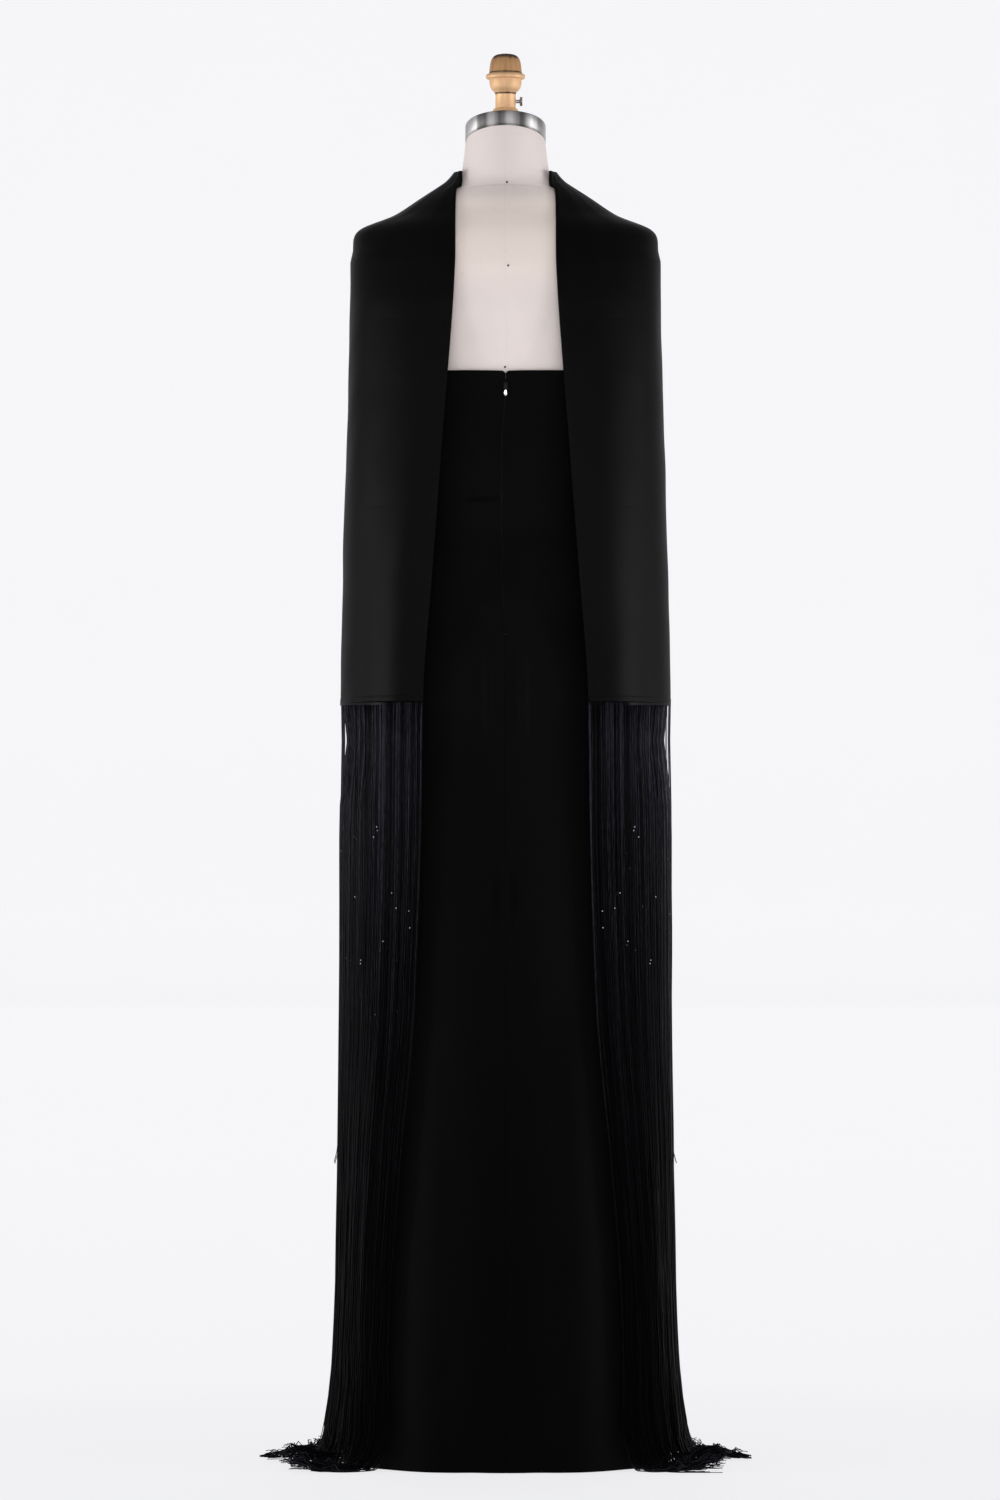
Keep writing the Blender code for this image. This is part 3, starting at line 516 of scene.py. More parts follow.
class Finish:
    """A material that is being made: its own nodes end in one Principled shader."""

    def __init__(self, name, colour, roughness, **constants):
        self.material = bpy.data.materials.new(name)
        self.material.use_nodes = True
        self.tree = self.material.node_tree
        self.shader = self.tree.nodes["Principled BSDF"]
        self.shader.inputs["Base Color"].default_value = (*colour, 1)
        self.shader.inputs["Roughness"].default_value = roughness
        for socket, value in constants.items():
            self.shader.inputs[socket.replace("_", " ")].default_value = value
        self.material.diffuse_color = (*colour, 1)

    def node(self, kind, settings=None, inputs=None, output=0):
        """Adds a node, sets it up, then fills its sockets with values or links."""
        added = self.tree.nodes.new(kind)
        for key, value in (settings or {}).items():
            setattr(added, key, value)
        for key, value in (inputs or {}).items():
            self.fill(added.inputs[key], value)
        return Socket(self, added.outputs[output])

    def fill(self, socket, value):
        if isinstance(value, Socket):
            self.tree.links.new(value.socket, socket)
        elif socket.type == "RGBA":
            socket.default_value = (*value, 1)
        else:
            socket.default_value = value

    def place(self):
        """Object coordinates as x, y and z."""
        return self.parts(self.node("ShaderNodeTexCoord", output="Object"))

    def parts(self, vector):
        split = self.node("ShaderNodeSeparateXYZ", inputs={0: vector}).socket.node
        return [Socket(self, split.outputs[k]) for k in range(3)]

    def cloth_place(self):
        """The metres across and up the cloth."""
        return self.parts(self.node("ShaderNodeUVMap", {"uv_map": "cloth"}))[:2]

    def tone(self):
        """The number that each point of the piece carries."""
        return self.node("ShaderNodeAttribute", {"attribute_name": "tone"}, output="Fac")

    def noise(self, scale, detail=2.0, stretch=(1, 1, 1), spot=None):
        """Even noise from 0 to 1, at so many waves a metre, in Object coordinates or at a spot."""
        spot = self.node("ShaderNodeTexCoord", output="Object") if spot is None else spot
        product = {"operation": "MULTIPLY"}
        sized = self.node("ShaderNodeVectorMath", product, {0: spot, 1: stretch})
        values = {"Vector": sized, "Scale": scale, "Detail": detail}
        return self.node("ShaderNodeTexNoise", {}, values)

    def join(self, x, y, z=0.0):
        return self.node("ShaderNodeCombineXYZ", inputs={0: x, 1: y, 2: z})

    def mix(self, factor, first, second):
        """The first colour at 0 and the second at 1."""
        settings = {"data_type": "RGBA"}
        return self.node("ShaderNodeMix", settings, {0: factor, 6: first, 7: second}, output=2)

    def colour(self, value):
        self.fill(self.shader.inputs["Base Color"], value)

    def roughness(self, value):
        self.fill(self.shader.inputs["Roughness"], value)

    def relief(self, height, distance, strength=1.0):
        """Raises the surface by a height from 0 to 1 times a distance in metres."""
        values = {"Strength": strength, "Distance": distance, "Height": height}
        bump = self.node("ShaderNodeBump", {}, values)
        self.fill(self.shader.inputs["Normal"], bump)


def times(colour, factor):
    """A colour made darker or paler."""
    return tuple(min(c * factor, 1.0) for c in colour)


def crepe_finish(name, colour, roughness, sheen, gloss, creases=()):
    """Matt crepe: pebbly twisted threads in a fine plain weave, with soft pressed bands.

    Cloth without such bands is the gown's. Its colour carries painted light at the small of the
    back and at the sides of the lower skirt, a painted shadow along one fold, and painted shade
    low in the middle of the skirt.
    """
    finish = Finish(
        name, colour, roughness, Sheen_Weight=sheen, Sheen_Roughness=0.45, Specular_IOR_Level=gloss
    )
    across, up = finish.cloth_place()
    x, y, z = finish.place()
    pebble = finish.noise(1.0, 3.0, (2300, 1500, 1), finish.join(across, up))
    weave = across.wave(0.0009) * up.wave(0.0011)
    slow = finish.noise(9, 3.0, (1, 1, 0.35))
    pressed = 0.0
    for height in creases:
        pressed = abs(z - height).between(0.0016, 0.0) + pressed
    tone = finish.mix(slow.between(0.3, 0.75), times(colour, 0.82), times(colour, 1.25))
    if not creases:
        # Painted light: the small of the back, which faces away from the lights, is made paler.
        waist = z.between(1.02, 1.12) * z.between(1.33, 1.17) * y.between(0.04, 0.08)
        tone = finish.mix(waist * (0.55 + abs(x) * 9.0), tone, times(colour, 1.75))
        # Painted shadow: a dark line along the fold that the first crease makes over its lower
        # edge.
        fold = abs(z - 1.1950 + x * 0.02).between(0.0050, 0.0010) * x.between(0.004, 0.016)
        fold = fold * x.between(0.058, 0.040) * y.between(0.0, 0.02)
        tone = finish.mix(fold * 0.5, tone, times(colour, 0.25))
        # Low on the skirt: painted light at the sides, where the fringe shades the cloth, and
        # painted shade in the middle.
        low = z.between(0.95, 0.40)
        tone = finish.mix(low * abs(x).between(0.07, 0.14), tone, times(colour, 1.90))
        tone = finish.mix(low * abs(x).between(0.07, 0.02), tone, times(colour, 0.86))
    finish.colour(tone)
    finish.roughness(roughness - 0.06 + 0.12 * pebble)
    height = pebble * 0.7 + weave * 0.15 + slow * 0.3
    if creases:
        height = height - pressed * 0.5
    finish.relief(height, 0.00035, 0.55)
    return finish.material


def yarn_finish(name, colour, bright):
    """Silky twisted yarn with ridges along its twist. Each strand's tone mixes its colour towards
    a painted glint, a painted highlight in the colour.
    """
    finish = Finish(name, colour, 0.34, Specular_IOR_Level=0.032)
    x, y, z = finish.place()
    slow = finish.noise(26, 2.0, (2, 2, 0.25))
    broken = finish.noise(1.0, 2.0, (900, 900, 85)).between(0.35, 0.68)
    lift = finish.tone() * (0.35 + 0.4 * slow + 0.9 * broken)
    # Painted highlight: the yarn's colour goes from dark towards the glint colour as its tone
    # rises.
    finish.colour(finish.mix(lift.between(0.0, 1.0), times(colour, 0.35), bright))
    twist = (z + x * 0.35 + y * 0.35).wave(0.0016)
    finish.roughness(0.42 - 0.14 * lift)
    finish.relief(twist * 0.5 + 0.5, 0.0002, 0.5)
    return finish.material


def linen_finish(name, colour):
    """Cream woven form cover, with a pressed seam down the back and one round the neck's foot, and
    painted light that makes its upper back paler.
    """
    finish = Finish(name, colour, 0.86, Sheen_Weight=0.12, Sheen_Roughness=0.6)
    x, y, z = finish.place()
    threads = finish.noise(700, 2.0, (1, 1, 3.5)) + finish.noise(700, 2.0, (3.5, 3.5, 1))
    cloud = finish.noise(11, 4.0)
    fleck = finish.noise(240, 1.0).between(0.70, 0.80)
    middle = abs(x).between(0.0020, 0.0002) * y.between(-0.001, 0.001)
    foot_level = z - 1.5875 + x * x * 1.5
    foot = abs(foot_level).between(0.0030, 0.0004)
    seam = (middle * 0.30 + foot * 0.6).between(0.0, 1.0)
    warm = finish.mix(cloud.between(0.35, 0.7), times(colour, 1.03), times(colour, 0.95))
    # Painted light: the upper back, below the neck's foot, is made paler.
    high = z.between(1.43, 1.51) * z.between(1.588, 1.56)
    warm = finish.mix(high, warm, (0.945, 0.825, 0.765))
    specked = finish.mix(fleck * 0.25, warm, (0.50, 0.42, 0.36))
    finish.colour(finish.mix(seam * 0.16, specked, times(colour, 0.5)))
    finish.relief(threads * 0.22 + cloud * 0.3 - seam * 1.1, 0.0006, 0.6)
    return finish.material


def steel_finish(name, colour):
    """Steel brushed round the neck, with fine lines and painted reflections: upright bands and
    bright ends.
    """
    finish = Finish(name, colour, 0.45, Metallic=1.0)
    x, y, z = finish.place()
    level = z - y * NECK_SLOPE
    lines = finish.noise(1.0, 3.0, (14, 14, 2600), finish.join(x, y, level))
    upright = finish.noise(1.0, 2.0, (110, 110, 3), finish.join(x, y, level))
    # Painted reflections: upright bands of the room across the cap, and bright ends where the
    # backdrop shows.
    bands = (x - 0.0120 + 0.003 * upright).wave(0.0243) * 0.5 + 0.5
    ends = (x * -1).between(0.0385, 0.0430) + x.between(0.036, 0.042)
    patch = bands * 0.62 + upright.between(0.35, 0.7) * 0.22 + 0.16 * lines
    patch = (patch + ends * 0.36).between(0.12, 0.92)
    finish.colour(finish.mix(patch, times(colour, 0.27), times(colour, 1.50)))
    finish.roughness(0.44 + 0.08 * lines)
    finish.relief(lines, 0.00012, 0.5)
    return finish.material


def brass_finish(name, colour):
    """Satin brass with dull patches, dark lines at two joints, and paler below the bowl. Painted
    shade makes its cap browner and duller and the top of its dome darkest, for the dark reflected
    from above.
    """
    finish = Finish(name, colour, 0.45, Metallic=0.55, Specular_IOR_Level=0.4)
    z = finish.place()[2]
    lines = finish.noise(1.0, 2.0, (30, 30, 1800))
    patch = finish.noise(1.0, 3.0, (190, 190, 24))
    grooves = abs(z - 1.7322).between(0.0012, 0.0004) + abs(z - 1.7062).between(0.0016, 0.0004)
    # The cap: its browner colour and extra dull patches are painted shade, for the dark reflected
    # from above. The top of its dome is darkest.
    cap = z.between(1.7320, 1.7328)
    crown_painted_shade = z.between(1.7470, 1.7535)
    stem = z.between(1.7068, 1.7060)
    tarnish_and_painted_shade = patch.between(0.35, 0.72) * (0.20 + 0.16 * cap) + crown_painted_shade * 0.85 + grooves * 0.8
    pale = finish.mix(stem, times(colour, 1.60), times(colour, 1.88))
    pale = finish.mix(cap, pale, (0.600, 0.341, 0.160))
    finish.colour(finish.mix(tarnish_and_painted_shade.between(0.0, 1.0), pale, times(colour, 0.14)))
    finish.roughness(0.46 + 0.2 * patch + 0.08 * lines)
    finish.relief(lines * 0.5 + patch * 0.5, 0.00015, 0.45)
    return finish.material


def pull_finish(name, colour):
    """The zip's pull: a painted highlight on its drop and a faint one at its top end, and nearly
    black elsewhere as painted shade.
    """
    finish = Finish(name, colour, 0.25, Metallic=1.0)
    x, _, z = finish.place()
    across, up = x * (1 / 0.0016), (z - 1.3246) * (1 / 0.0036)
    away = across * across + up * up
    # Painted highlight: bright on the drop and faintly at the top end. The rest is painted shade.
    painted_highlight = away.between(1.15, 0.75) + z.between(1.3324, 1.3327) * 0.12
    finish.colour(finish.mix(painted_highlight.between(0.0, 1.0), times(colour, 0.006), colour))
    finish.roughness(0.22 + 0.1 * finish.noise(900, 3.0))
    return finish.material


def metal_finish(name, colour, roughness, grain=900):
    """Small plated metal, with fine wear."""
    finish = Finish(name, colour, roughness, Metallic=1.0)
    wear = finish.noise(grain, 3.0)
    finish.colour(finish.mix(wear.between(0.4, 0.8), colour, times(colour, 0.6)))
    finish.roughness(roughness - 0.05 + 0.2 * wear)
    finish.relief(wear, 0.00005, 0.4)
    return finish.material


def paint_finish(name, colour):
    """Black satin paint with a light orange-peel texture and scuffs."""
    finish = Finish(name, colour, 0.4, Coat_Roughness=0.25)
    peel = finish.noise(420, 2.0)
    scuff = finish.noise(38, 5.0).between(0.60, 0.72)
    finish.colour(finish.mix(scuff * 0.4, colour, (0.12, 0.12, 0.12)))
    finish.roughness(0.34 + 0.2 * scuff + 0.08 * peel)
    finish.relief(peel, 0.0003, 0.3)
    return finish.material


def bead_finish(name, colour, roughness):
    """Bright cut beads with a play of tones between them."""
    finish = Finish(name, colour, roughness, Metallic=0.9)
    tone = finish.tone()
    finish.colour(finish.mix(tone, colour, (0.30, 0.24, 0.55)))
    finish.roughness(roughness + 0.15 * finish.noise(1500, 1.0))
    return finish.material


def floor_finish(name, colour, glow, low):
    """A plain pale sweep, lit from behind, with a very faint paper grain.

    `low` is how much of a dimmer tone the lowest 3 m of an upright sheet has. The glow is a little
    less at the foot of the bend, which catches more light, and a little more on the bend itself.
    """
    finish = Finish(name, colour, 0.85, Specular_IOR_Level=0.1)
    _, y, z = finish.place()
    light = finish.mix(z.between(3.0, 0.0) * low, (0.905, 0.905, 0.930), (0.832, 0.832, 0.856))
    light = finish.mix(y.between(-0.25, -1.10), light, (0.939, 0.936, 0.962))
    light = finish.mix(y.between(-4.5, -9.0), light, (0.923, 0.920, 0.946))
    foot = y.between(-8.0, -12.5) * z.between(0.10, 0.0)
    light = finish.mix(foot, light, (0.897, 0.894, 0.920))
    bend = z.between(0.05, 0.30) * z.between(1.70, 0.95) * y.between(-12.0, -12.6)
    light = finish.mix(bend, light, (0.941, 0.938, 0.964))
    finish.fill(finish.shader.inputs["Emission Color"], light)
    finish.shader.inputs["Emission Strength"].default_value = glow
    grain = finish.noise(3, 4.0)
    finish.colour(finish.mix(grain.between(0.3, 0.7), colour, times(colour, 0.985)))
    return finish.material


# Settings


def length_setting(name, about, default, **limits):
    """A length in metres."""
    return FloatProperty(name=name, description=about, default=default, unit="LENGTH", **limits)


def power_setting(name, about, default):
    """A light's power in watts."""
    return FloatProperty(name=name, description=about, default=default, unit="POWER")


def colour_setting(name, about, default):
    """A colour as linear red, green and blue."""
    return FloatVectorProperty(
        name=name, description=about, default=default, subtype="COLOR", min=0, max=1
    )


class GownClothSettings(bpy.types.PropertyGroup):
    """Sizes and colours of the gown and its scarves."""

    thick: length_setting("Cloth thickness", "Wall of the crepe", 0.0012, min=0.0008, max=0.0025)
    hem: length_setting("Hem depth", "Depth of the turned hems and edges", 0.0070)
    crepe: colour_setting("Gown colour", "Colour of the gown's crepe", (0.0027, 0.0027, 0.0029))
    scarf: colour_setting("Scarf colour", "Colour of the scarves", (0.0025, 0.0021, 0.0025))


class GownFringeSettings(bpy.types.PropertyGroup):
    """Sizes and colours of the fringe and its beads."""

    strands: IntProperty(
        name="Yarns a side", description="Number of yarns under each scarf", default=620, min=50,
        max=900,
    )
    radius: length_setting("Yarn radius", "Half the thickness of a yarn", 0.00055)
    spread: length_setting("Floor reach", "How far along X the ends lie on the floor", 0.308)
    yarn: colour_setting("Yarn colour", "Colour of the yarns", (0.0060, 0.0058, 0.0072))
    # The glint is a painted highlight that the yarns' tone mixes into their colour.
    glint: colour_setting("Yarn glint", "Colour of the brightest yarns", (0.038, 0.037, 0.051))
    bead: length_setting("Bead radius", "Half the width of a bead", 0.0008)
    seed: IntProperty(name="Seed", description="Seed of the yarns' random lie", default=11)


class GownFormSettings(bpy.types.PropertyGroup):
    """Colours of the dress form and its stand."""

    linen: colour_setting("Cover", "Colour of the form's woven cover", (0.800, 0.712, 0.685))
    steel: colour_setting("Steel", "Colour of the neck cap and the pole", (0.34, 0.33, 0.33))
    brass: colour_setting("Brass", "Colour of the knob", (0.52, 0.335, 0.190))
    paint: colour_setting("Base paint", "Colour of the stand's base", (0.03, 0.03, 0.032))


class GownStudioSettings(bpy.types.PropertyGroup):
    """The studio's camera, lights and floor."""

    distance: length_setting("Camera distance", "From the camera to the form", 7.0)
    height: length_setting("Camera height", "Height of the camera", 0.885)
    aside: length_setting("Camera aside", "Place of the camera along X", 0.0069)
    lens: FloatProperty(name="Lens", description="Focal length in millimetres", default=134.4)
    sky: FloatProperty(name="Room light", description="Strength of the even light", default=0.36)
    side: power_setting("Side lights", "Power of each side light", 3.9)
    front: power_setting("Front light", "Power of the light by the camera", 1.9)
    floor: colour_setting("Floor colour", "Colour of floor and wall", (0.25, 0.25, 0.255))
    glow: FloatProperty(
        name="Sweep glow", description="Light that floor and wall give off", default=0.84
    )


# Pieces


def ring_of(height, per_quarter):
    """Closed rings round the form: its back and front outlines and their mirror images."""
    section = sections(BODY_TABLE, height)
    places = np.arange(per_quarter) / per_quarter
    back = quarter(section, height, 1)
    front = quarter(section, height, -1)
    mirror = np.array([-1, 1])
    flat = np.concatenate(
        [
            spaced(back, places),
            spaced(back[:, ::-1], places) * mirror,
            spaced(front, places) * mirror,
            spaced(front[:, ::-1], places),
        ],
        axis=1,
    )
    rise = section["slope"][:, None] * (flat[:, :, 1] - section["middle"][:, None])
    return with_height(flat, height[:, None] + rise)


class GOWN_OT_form(bpy.types.Operator):
    """Covers the padded form with woven cloth, and sets three pins in its back"""

    bl_idname = "gown.form"
    bl_label = "Form"

    def execute(self, context):
        """The cover is a loft of the form's sections, and each pin a small dome on a shank."""
        colours = context.scene.gown_form
        height = np.concatenate(
            [np.linspace(FORM_BOTTOM, 1.30, 24, endpoint=False), np.linspace(1.30, NECK_TOP, 110)]
        )
        rings = ring_of(height, 34)
        inset = 0.0022 * smooth((1.350 - height) / 0.06)[:, None, None]
        rings[:, :, :2] -= unit(rings[:, :, :2]) * inset
        linen = linen_finish("form_linen", colours.linen)
        cover = finished("form_cover", *loft(rings), linen, "form_linen")
        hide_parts("form_torso")

        lift = np.linspace(0, math.pi / 2, 5)[:-1]
        head = np.stack([PIN_RADIUS * np.cos(lift), 0.0004 + 0.0008 * np.sin(lift)], axis=1)
        profile = [(0.0003, -0.0012), (0.0003, 0.0002), (PIN_RADIUS, 0.0003), *head]
        turn = angles(10)
        for number, (x, z) in enumerate(PINS):
            line = quarter(sections(BODY_TABLE, np.array([z])), np.array([z]), 1)[0][::-1]
            y = float(np.interp(abs(x), line[:, 0], line[:, 1]))
            rings = [
                np.stack([x + r * np.cos(turn), 0 * turn + y + out, z + r * np.sin(turn)], axis=1)
                for r, out in profile
            ]
            pin = metal_finish(f"pin_metal_{number}", (0.02, 0.018, 0.018), 0.55)
            finished(f"form_pin_{number + 1}", *loft(rings), pin, "steel")
        return {"FINISHED"}


class GOWN_OT_neck(bpy.types.Operator):
    """Builds the brushed cap, the brass knob and the thumb screw, and finishes the stand"""

    bl_idname = "gown.neck"
    bl_label = "Neck and stand"

    def execute(self, context):
        """Cap and knob are profiles turned round the neck, and the cap's rings tilt with it."""
        colours = context.scene.gown_form
        steel = steel_finish("steel", colours.steel)
        brass = brass_finish("brass", colours.brass)
        low = NECK_TOP + SEAM_GAP
        top = low + CAP_HEIGHT
        cap = (
            (0.0480, low), (0.0498, low), (0.0503, low + 0.0006), (0.0503, low + 0.0014),
            (0.0499, low + 0.0019), (0.0503, low + 0.0024), (0.0503, top - 0.0022),
            (0.0501, top - 0.0012), (0.0494, top - 0.0004), (0.0484, top), (0.0200, top),
        )
        slopes = [NECK_SLOPE if z < low + 0.005 else CAP_SLOPE for _, z in cap]
        rings = turned_rings(cap, 96, slopes)
        made = finished("neck_cap_brushed", *loft(rings), steel, "steel", angle=50)
        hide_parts("neck_cap")

        slope = [CAP_SLOPE] + [0.0] * (len(KNOB) - 1)
        rings = turned_rings(((KNOB[0][0], top + SEAM_GAP), *KNOB[1:]), 64, slope)
        knob = finished("neck_knob_turned", *loft(rings), brass, "brass", angle=35)
        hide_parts("neck_knob")

        screw = (
            (0.0022, 0.0129), (0.0022, 0.0176), (0.0036, 0.0178), (0.0053, 0.0179),
            (0.0055, 0.0182), (0.0055, 0.0209), (0.0052, 0.0212), (0.0010, 0.0212),
        )
        turn = angles(40)
        grip = 1 + 0.03 * np.cos(turn * 20)
        rings = []
        for radius, out in screw:
            wide = radius * (grip if 0.0181 < out < 0.0210 else 1)
            y = NECK_MIDDLE + wide * np.cos(turn)
            z = SCREW_HEIGHT + wide * np.sin(turn)
            rings.append(np.stack([0 * turn - out, y, z], axis=1))
        plated = metal_finish("screw_steel", times(colours.steel, 1.15), 0.26)
        made = finished("neck_screw_knurled", *loft(rings), plated, "steel", body="thumb_screw")
        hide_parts("neck_screw")

        finishes = {
            "stand_pole": metal_finish("pole_steel", colours.steel, 0.24, 160),
            "stand_plate": metal_finish("plate_steel", times(colours.steel, 0.9), 0.34, 240),
            "stand_base": paint_finish("stand_paint", colours.paint),
        }
        for node, finish in finishes.items():
            for held in frame["nodes"][node].material_slots:
                held.material = finish
        return {"FINISHED"}


def top_edge(place):
    """The height of the bodice's edge, from place 0 in front by 0.5 at the side to 1 behind."""
    knots = np.array([0.0, 0.30, 0.50, 0.62, 0.991, 1.0])
    heights = np.array([FRONT_TOP, FRONT_TOP - 0.002, SIDE_TOP, BACK_TOP + 0.002, BACK_TOP, 1.349])
    return through(knots, heights, place)


def gown_grid(way, places, rows, trim):
    """The outer face of a front (-1) or a back (1), and the height of each of its points.

    The rows stand closer at the hem, at the top and at the small of the back.
    """
    spot = np.linspace(0, 1, rows)
    ends = bell(spot / 0.04) + bell((1 - spot) / 0.04)
    crowd = np.cumsum(1 / (1 + 2.5 * bell((spot - 0.885) / 0.045) + ends))
    level = (crowd - crowd[0]) / (crowd[-1] - crowd[0])
    top = top_edge(places)
    height = FLOOR_CLEAR + level[:, None] * (top[None] - FLOOR_CLEAR)
    grid = np.zeros((rows, len(places), 2))
    hip = SKIRT[-1][0]
    for column, place in enumerate(places):
        z = height[:, column]
        body = sections(BODY_TABLE, z)
        skirt = sections(SKIRT_TABLE, z)
        section = {
            n: np.where(z <= hip, skirt[n], body[n] + CLOTH_OUT) for n in ("side", "back", "front")
        }
        section["square"] = np.where(z <= hip, skirt["square"], body["square"])
        section["middle"] = z * 0
        line = quarter(section, z, way)
        if way < 0:
            line = line[:, ::-1]
        grid[:, column] = spaced(line, [place * 2 - (way > 0)], trim)[:, 0]
    return with_height(grid, height), height


def seam_drift(grid, height):
    """How far the centre back seam swings to the left of the wearer below the zip's slider."""
    swing = 0.0048 * smooth((1.335 - height) / 0.08) * smooth((height - 1.00) / 0.13)
    return swing * bell(grid[:, :, 0] / 0.030)


def hem_band(distance, depth):
    """A turned hem's extra height, 0.35 mm, which ends in a pressed line at its stitching."""
    line = 0.00025 * bell((distance - depth) / 0.0008)
    return 0.00035 * smooth((depth - distance) / 0.0012) - line


class GOWN_OT_gown(bpy.types.Operator):
    """Cuts the gown's two fronts and two backs as thin crepe, with soft folds, creases and hems"""

    bl_idname = "gown.gown"
    bl_label = "Gown"

    def execute(self, context):
        """Each panel is the gown's sections, raised by folds, creases and ripples."""
        look = context.scene.gown_cloth
        crepe = crepe_finish("crepe", look.crepe, 0.58, 0.003, 0.014)
        rows = 230
        trim = (SEAM_GAP / 2, SEAM_GAP / 2)
        beside_zip = [0.991, 0.9955, 0.998]
        for name, way, places in (
            ("front", -1, np.linspace(0, 0.5, 56)),
            ("back", 1, np.sort(np.append(np.linspace(0.5, 1, 66), beside_zip))),
        ):
            grid, height = gown_grid(way, places, rows, trim)
            outward = with_height(grid[:, :, :2], 0.0)
            place = np.broadcast_to(places, height.shape)
            loose = smooth((1.33 - height) / 0.25)
            lift = folds(SKIRT_FOLDS, place, height, 0.0)
            lift = lift + 0.0007 * ripples(place * 0.55, height, 0.16, 5) * loose
            below = top_edge(place) - height
            lift = lift + hem_band(below, look.hem) + hem_band(height, look.hem * 3)
            seams = ((0, 0), (-1, 1)) if way < 0 else ((0, 1), (-1, 0))
            for side, sign in SIDES.items():
                if way > 0:
                    bumps = lift + self.back_details(grid, height, sign)
                else:
                    bumps = lift + self.creases(grid[:, :, 0] * 0.9, height + 0.014, -sign)
                turned, out = grid * (sign, 1, 1), outward * (sign, 1, 1)
                turned[:, :, 0] += seam_drift(grid, height) * (way > 0)
                self.panel(f"gown_{name}_{side}", turned, out, bumps, look, crepe, seams)
            for seam, (face, column, axis) in SEAMS.items():
                if face == way:
                    self.strip(seam, grid[:, column], height[:, column], axis, crepe)
        # The rolled edges take the gown's crepe at twice its colour: a painted highlight along the
        # back seam.
        edge = crepe_finish("zip_edge_crepe", times(look.crepe, 2.0), 0.5, 0.006, 0.04)
        self.zip_edges(edge)
        return {"FINISHED"}

    def creases(self, x, height, side):
        """Short creases as heights: each is a bell across its line, eased in and out along it."""
        total = np.zeros(height.shape)
        for crease in records(CREASE_COLUMNS, CREASES):
            if crease["side"] != side:
                continue
            along = (x - crease["start"]) / (crease["end"] - crease["start"])
            level = crease["height"] - crease["drop"] * along
            shape = smooth(along * 3) * smooth((1 - along) * 2) * (along > 0) * (along < 1)
            rise = height - level
            over = smooth(rise / 0.0018) * bell(rise / 0.011)
            total += crease["depth"] * shape * (over if crease["over"] else bell(rise / 0.0040))
        return total

    def back_details(self, grid, height, side):
        """Creases across the back, two long highlights under it, and puckers beside the zip."""
        x = grid[:, :, 0]
        total = self.creases(x, height, side)
        seat = smooth((height - 0.885) / 0.04) * smooth((1.020 - height) / 0.04)
        total += 0.0030 * seat * bell((x - 0.0215) / 0.0048)
        total -= 0.0035 * bell((x - 0.010) / 0.010) * bell((height - 0.705) / 0.040)
        low = smooth((0.66 - height) / 0.25) * smooth((height - 0.15) / 0.2)
        total += 0.0014 * low * (bell((x - 0.035) / 0.014) - bell((x - 0.070) / 0.018))
        zip_length = smooth((height - 1.03) / 0.02) * smooth((1.345 - height) / 0.01)
        puckers = np.sin(height * 2 * math.pi / 0.021 + side) * bell(x / 0.010)
        total += 0.00022 * puckers * zip_length
        total -= 0.0004 * bell(x / 0.0035) * smooth((1.34 - height) / 0.02)
        return total

    def panel(self, name, grid, outward, lift, look, finish, seams):
        """Raises a panel's grid by its lift and thickens it."""
        normal = normals(grid, outward)
        for column, axis in seams:
            normal[:, column, axis] = 0
        outer = grid + normal * lift[:, :, None]
        outer[:, :, 2] = np.maximum(outer[:, :, 2], FLOOR_CLEAR)
        made = cloth(
            f"{name}_crepe", outer, outward, look.thick, finish, "crepe", cloth_uv(grid), seams
        )
        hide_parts(name)

    def strip(self, seam, line, height, axis, finish):
        """A seam's allowance: a flat strip behind the seam, a little below the bodice's edge."""
        line = line[height < height.max() - 0.004]
        if axis == 0:
            line[:, 0] = 0
            line[:, 0] += seam_drift(line[:, None], line[:, 2:3])[:, 0] * (line[0, 1] > 0)
        half, near, far = 0.006, 0.00125, 0.00165
        corners = []
        for across, deep in ((-half, near), (half, near), (half, far), (-half, far)):
            corner = line.copy()
            corner[:, :2] -= unit(line[:, :2]) * deep
            corner[:, axis] += across
            corners.append(corner)
        rings = np.stack(corners, axis=1)
        for side, sign in SIDES.items() if axis else (("", 1),):
            name = f"seam_{seam}_{side}".rstrip("_")
            points, faces = loft(rings * (sign, 1, 1))
            finished(name, points, faces, finish, "crepe").data.uv_layers.new(name="cloth")

    def zip_edges(self, finish):
        """Two thin rolled edges that meet over the zip, as long tubes just beside the back seam.

        They are thinner below the small of the back, and bulge where they part in two places.
        """
        height = np.linspace(1.028, 1.3455, 160)
        body = sections(BODY_TABLE, height)
        y = body["back"] + CLOTH_OUT - 0.00040 + 0.0001 * np.sin(height * 420)
        drift = seam_drift(np.zeros((160, 1, 3)), height[:, None])[:, 0]
        radius = 0.00050 - 0.00020 * smooth((1.165 - height) / 0.02)
        radius += 0.00030 * (bell((height - 1.1990) / 0.0035) + bell((height - 1.1550) / 0.0025))
        for side, sign in SIDES.items():
            x = drift + 0.00064 * sign
            path = np.stack([x, y, height], axis=1)[None]
            points, faces = tubes(path, radius, 6)
            tone = np.full(points.shape[:3], 0.7)
            rolled = finished(f"zip_edge_{side}", points, faces, finish, "crepe", tone=tone)
            rolled.data.uv_layers.new(name="cloth")


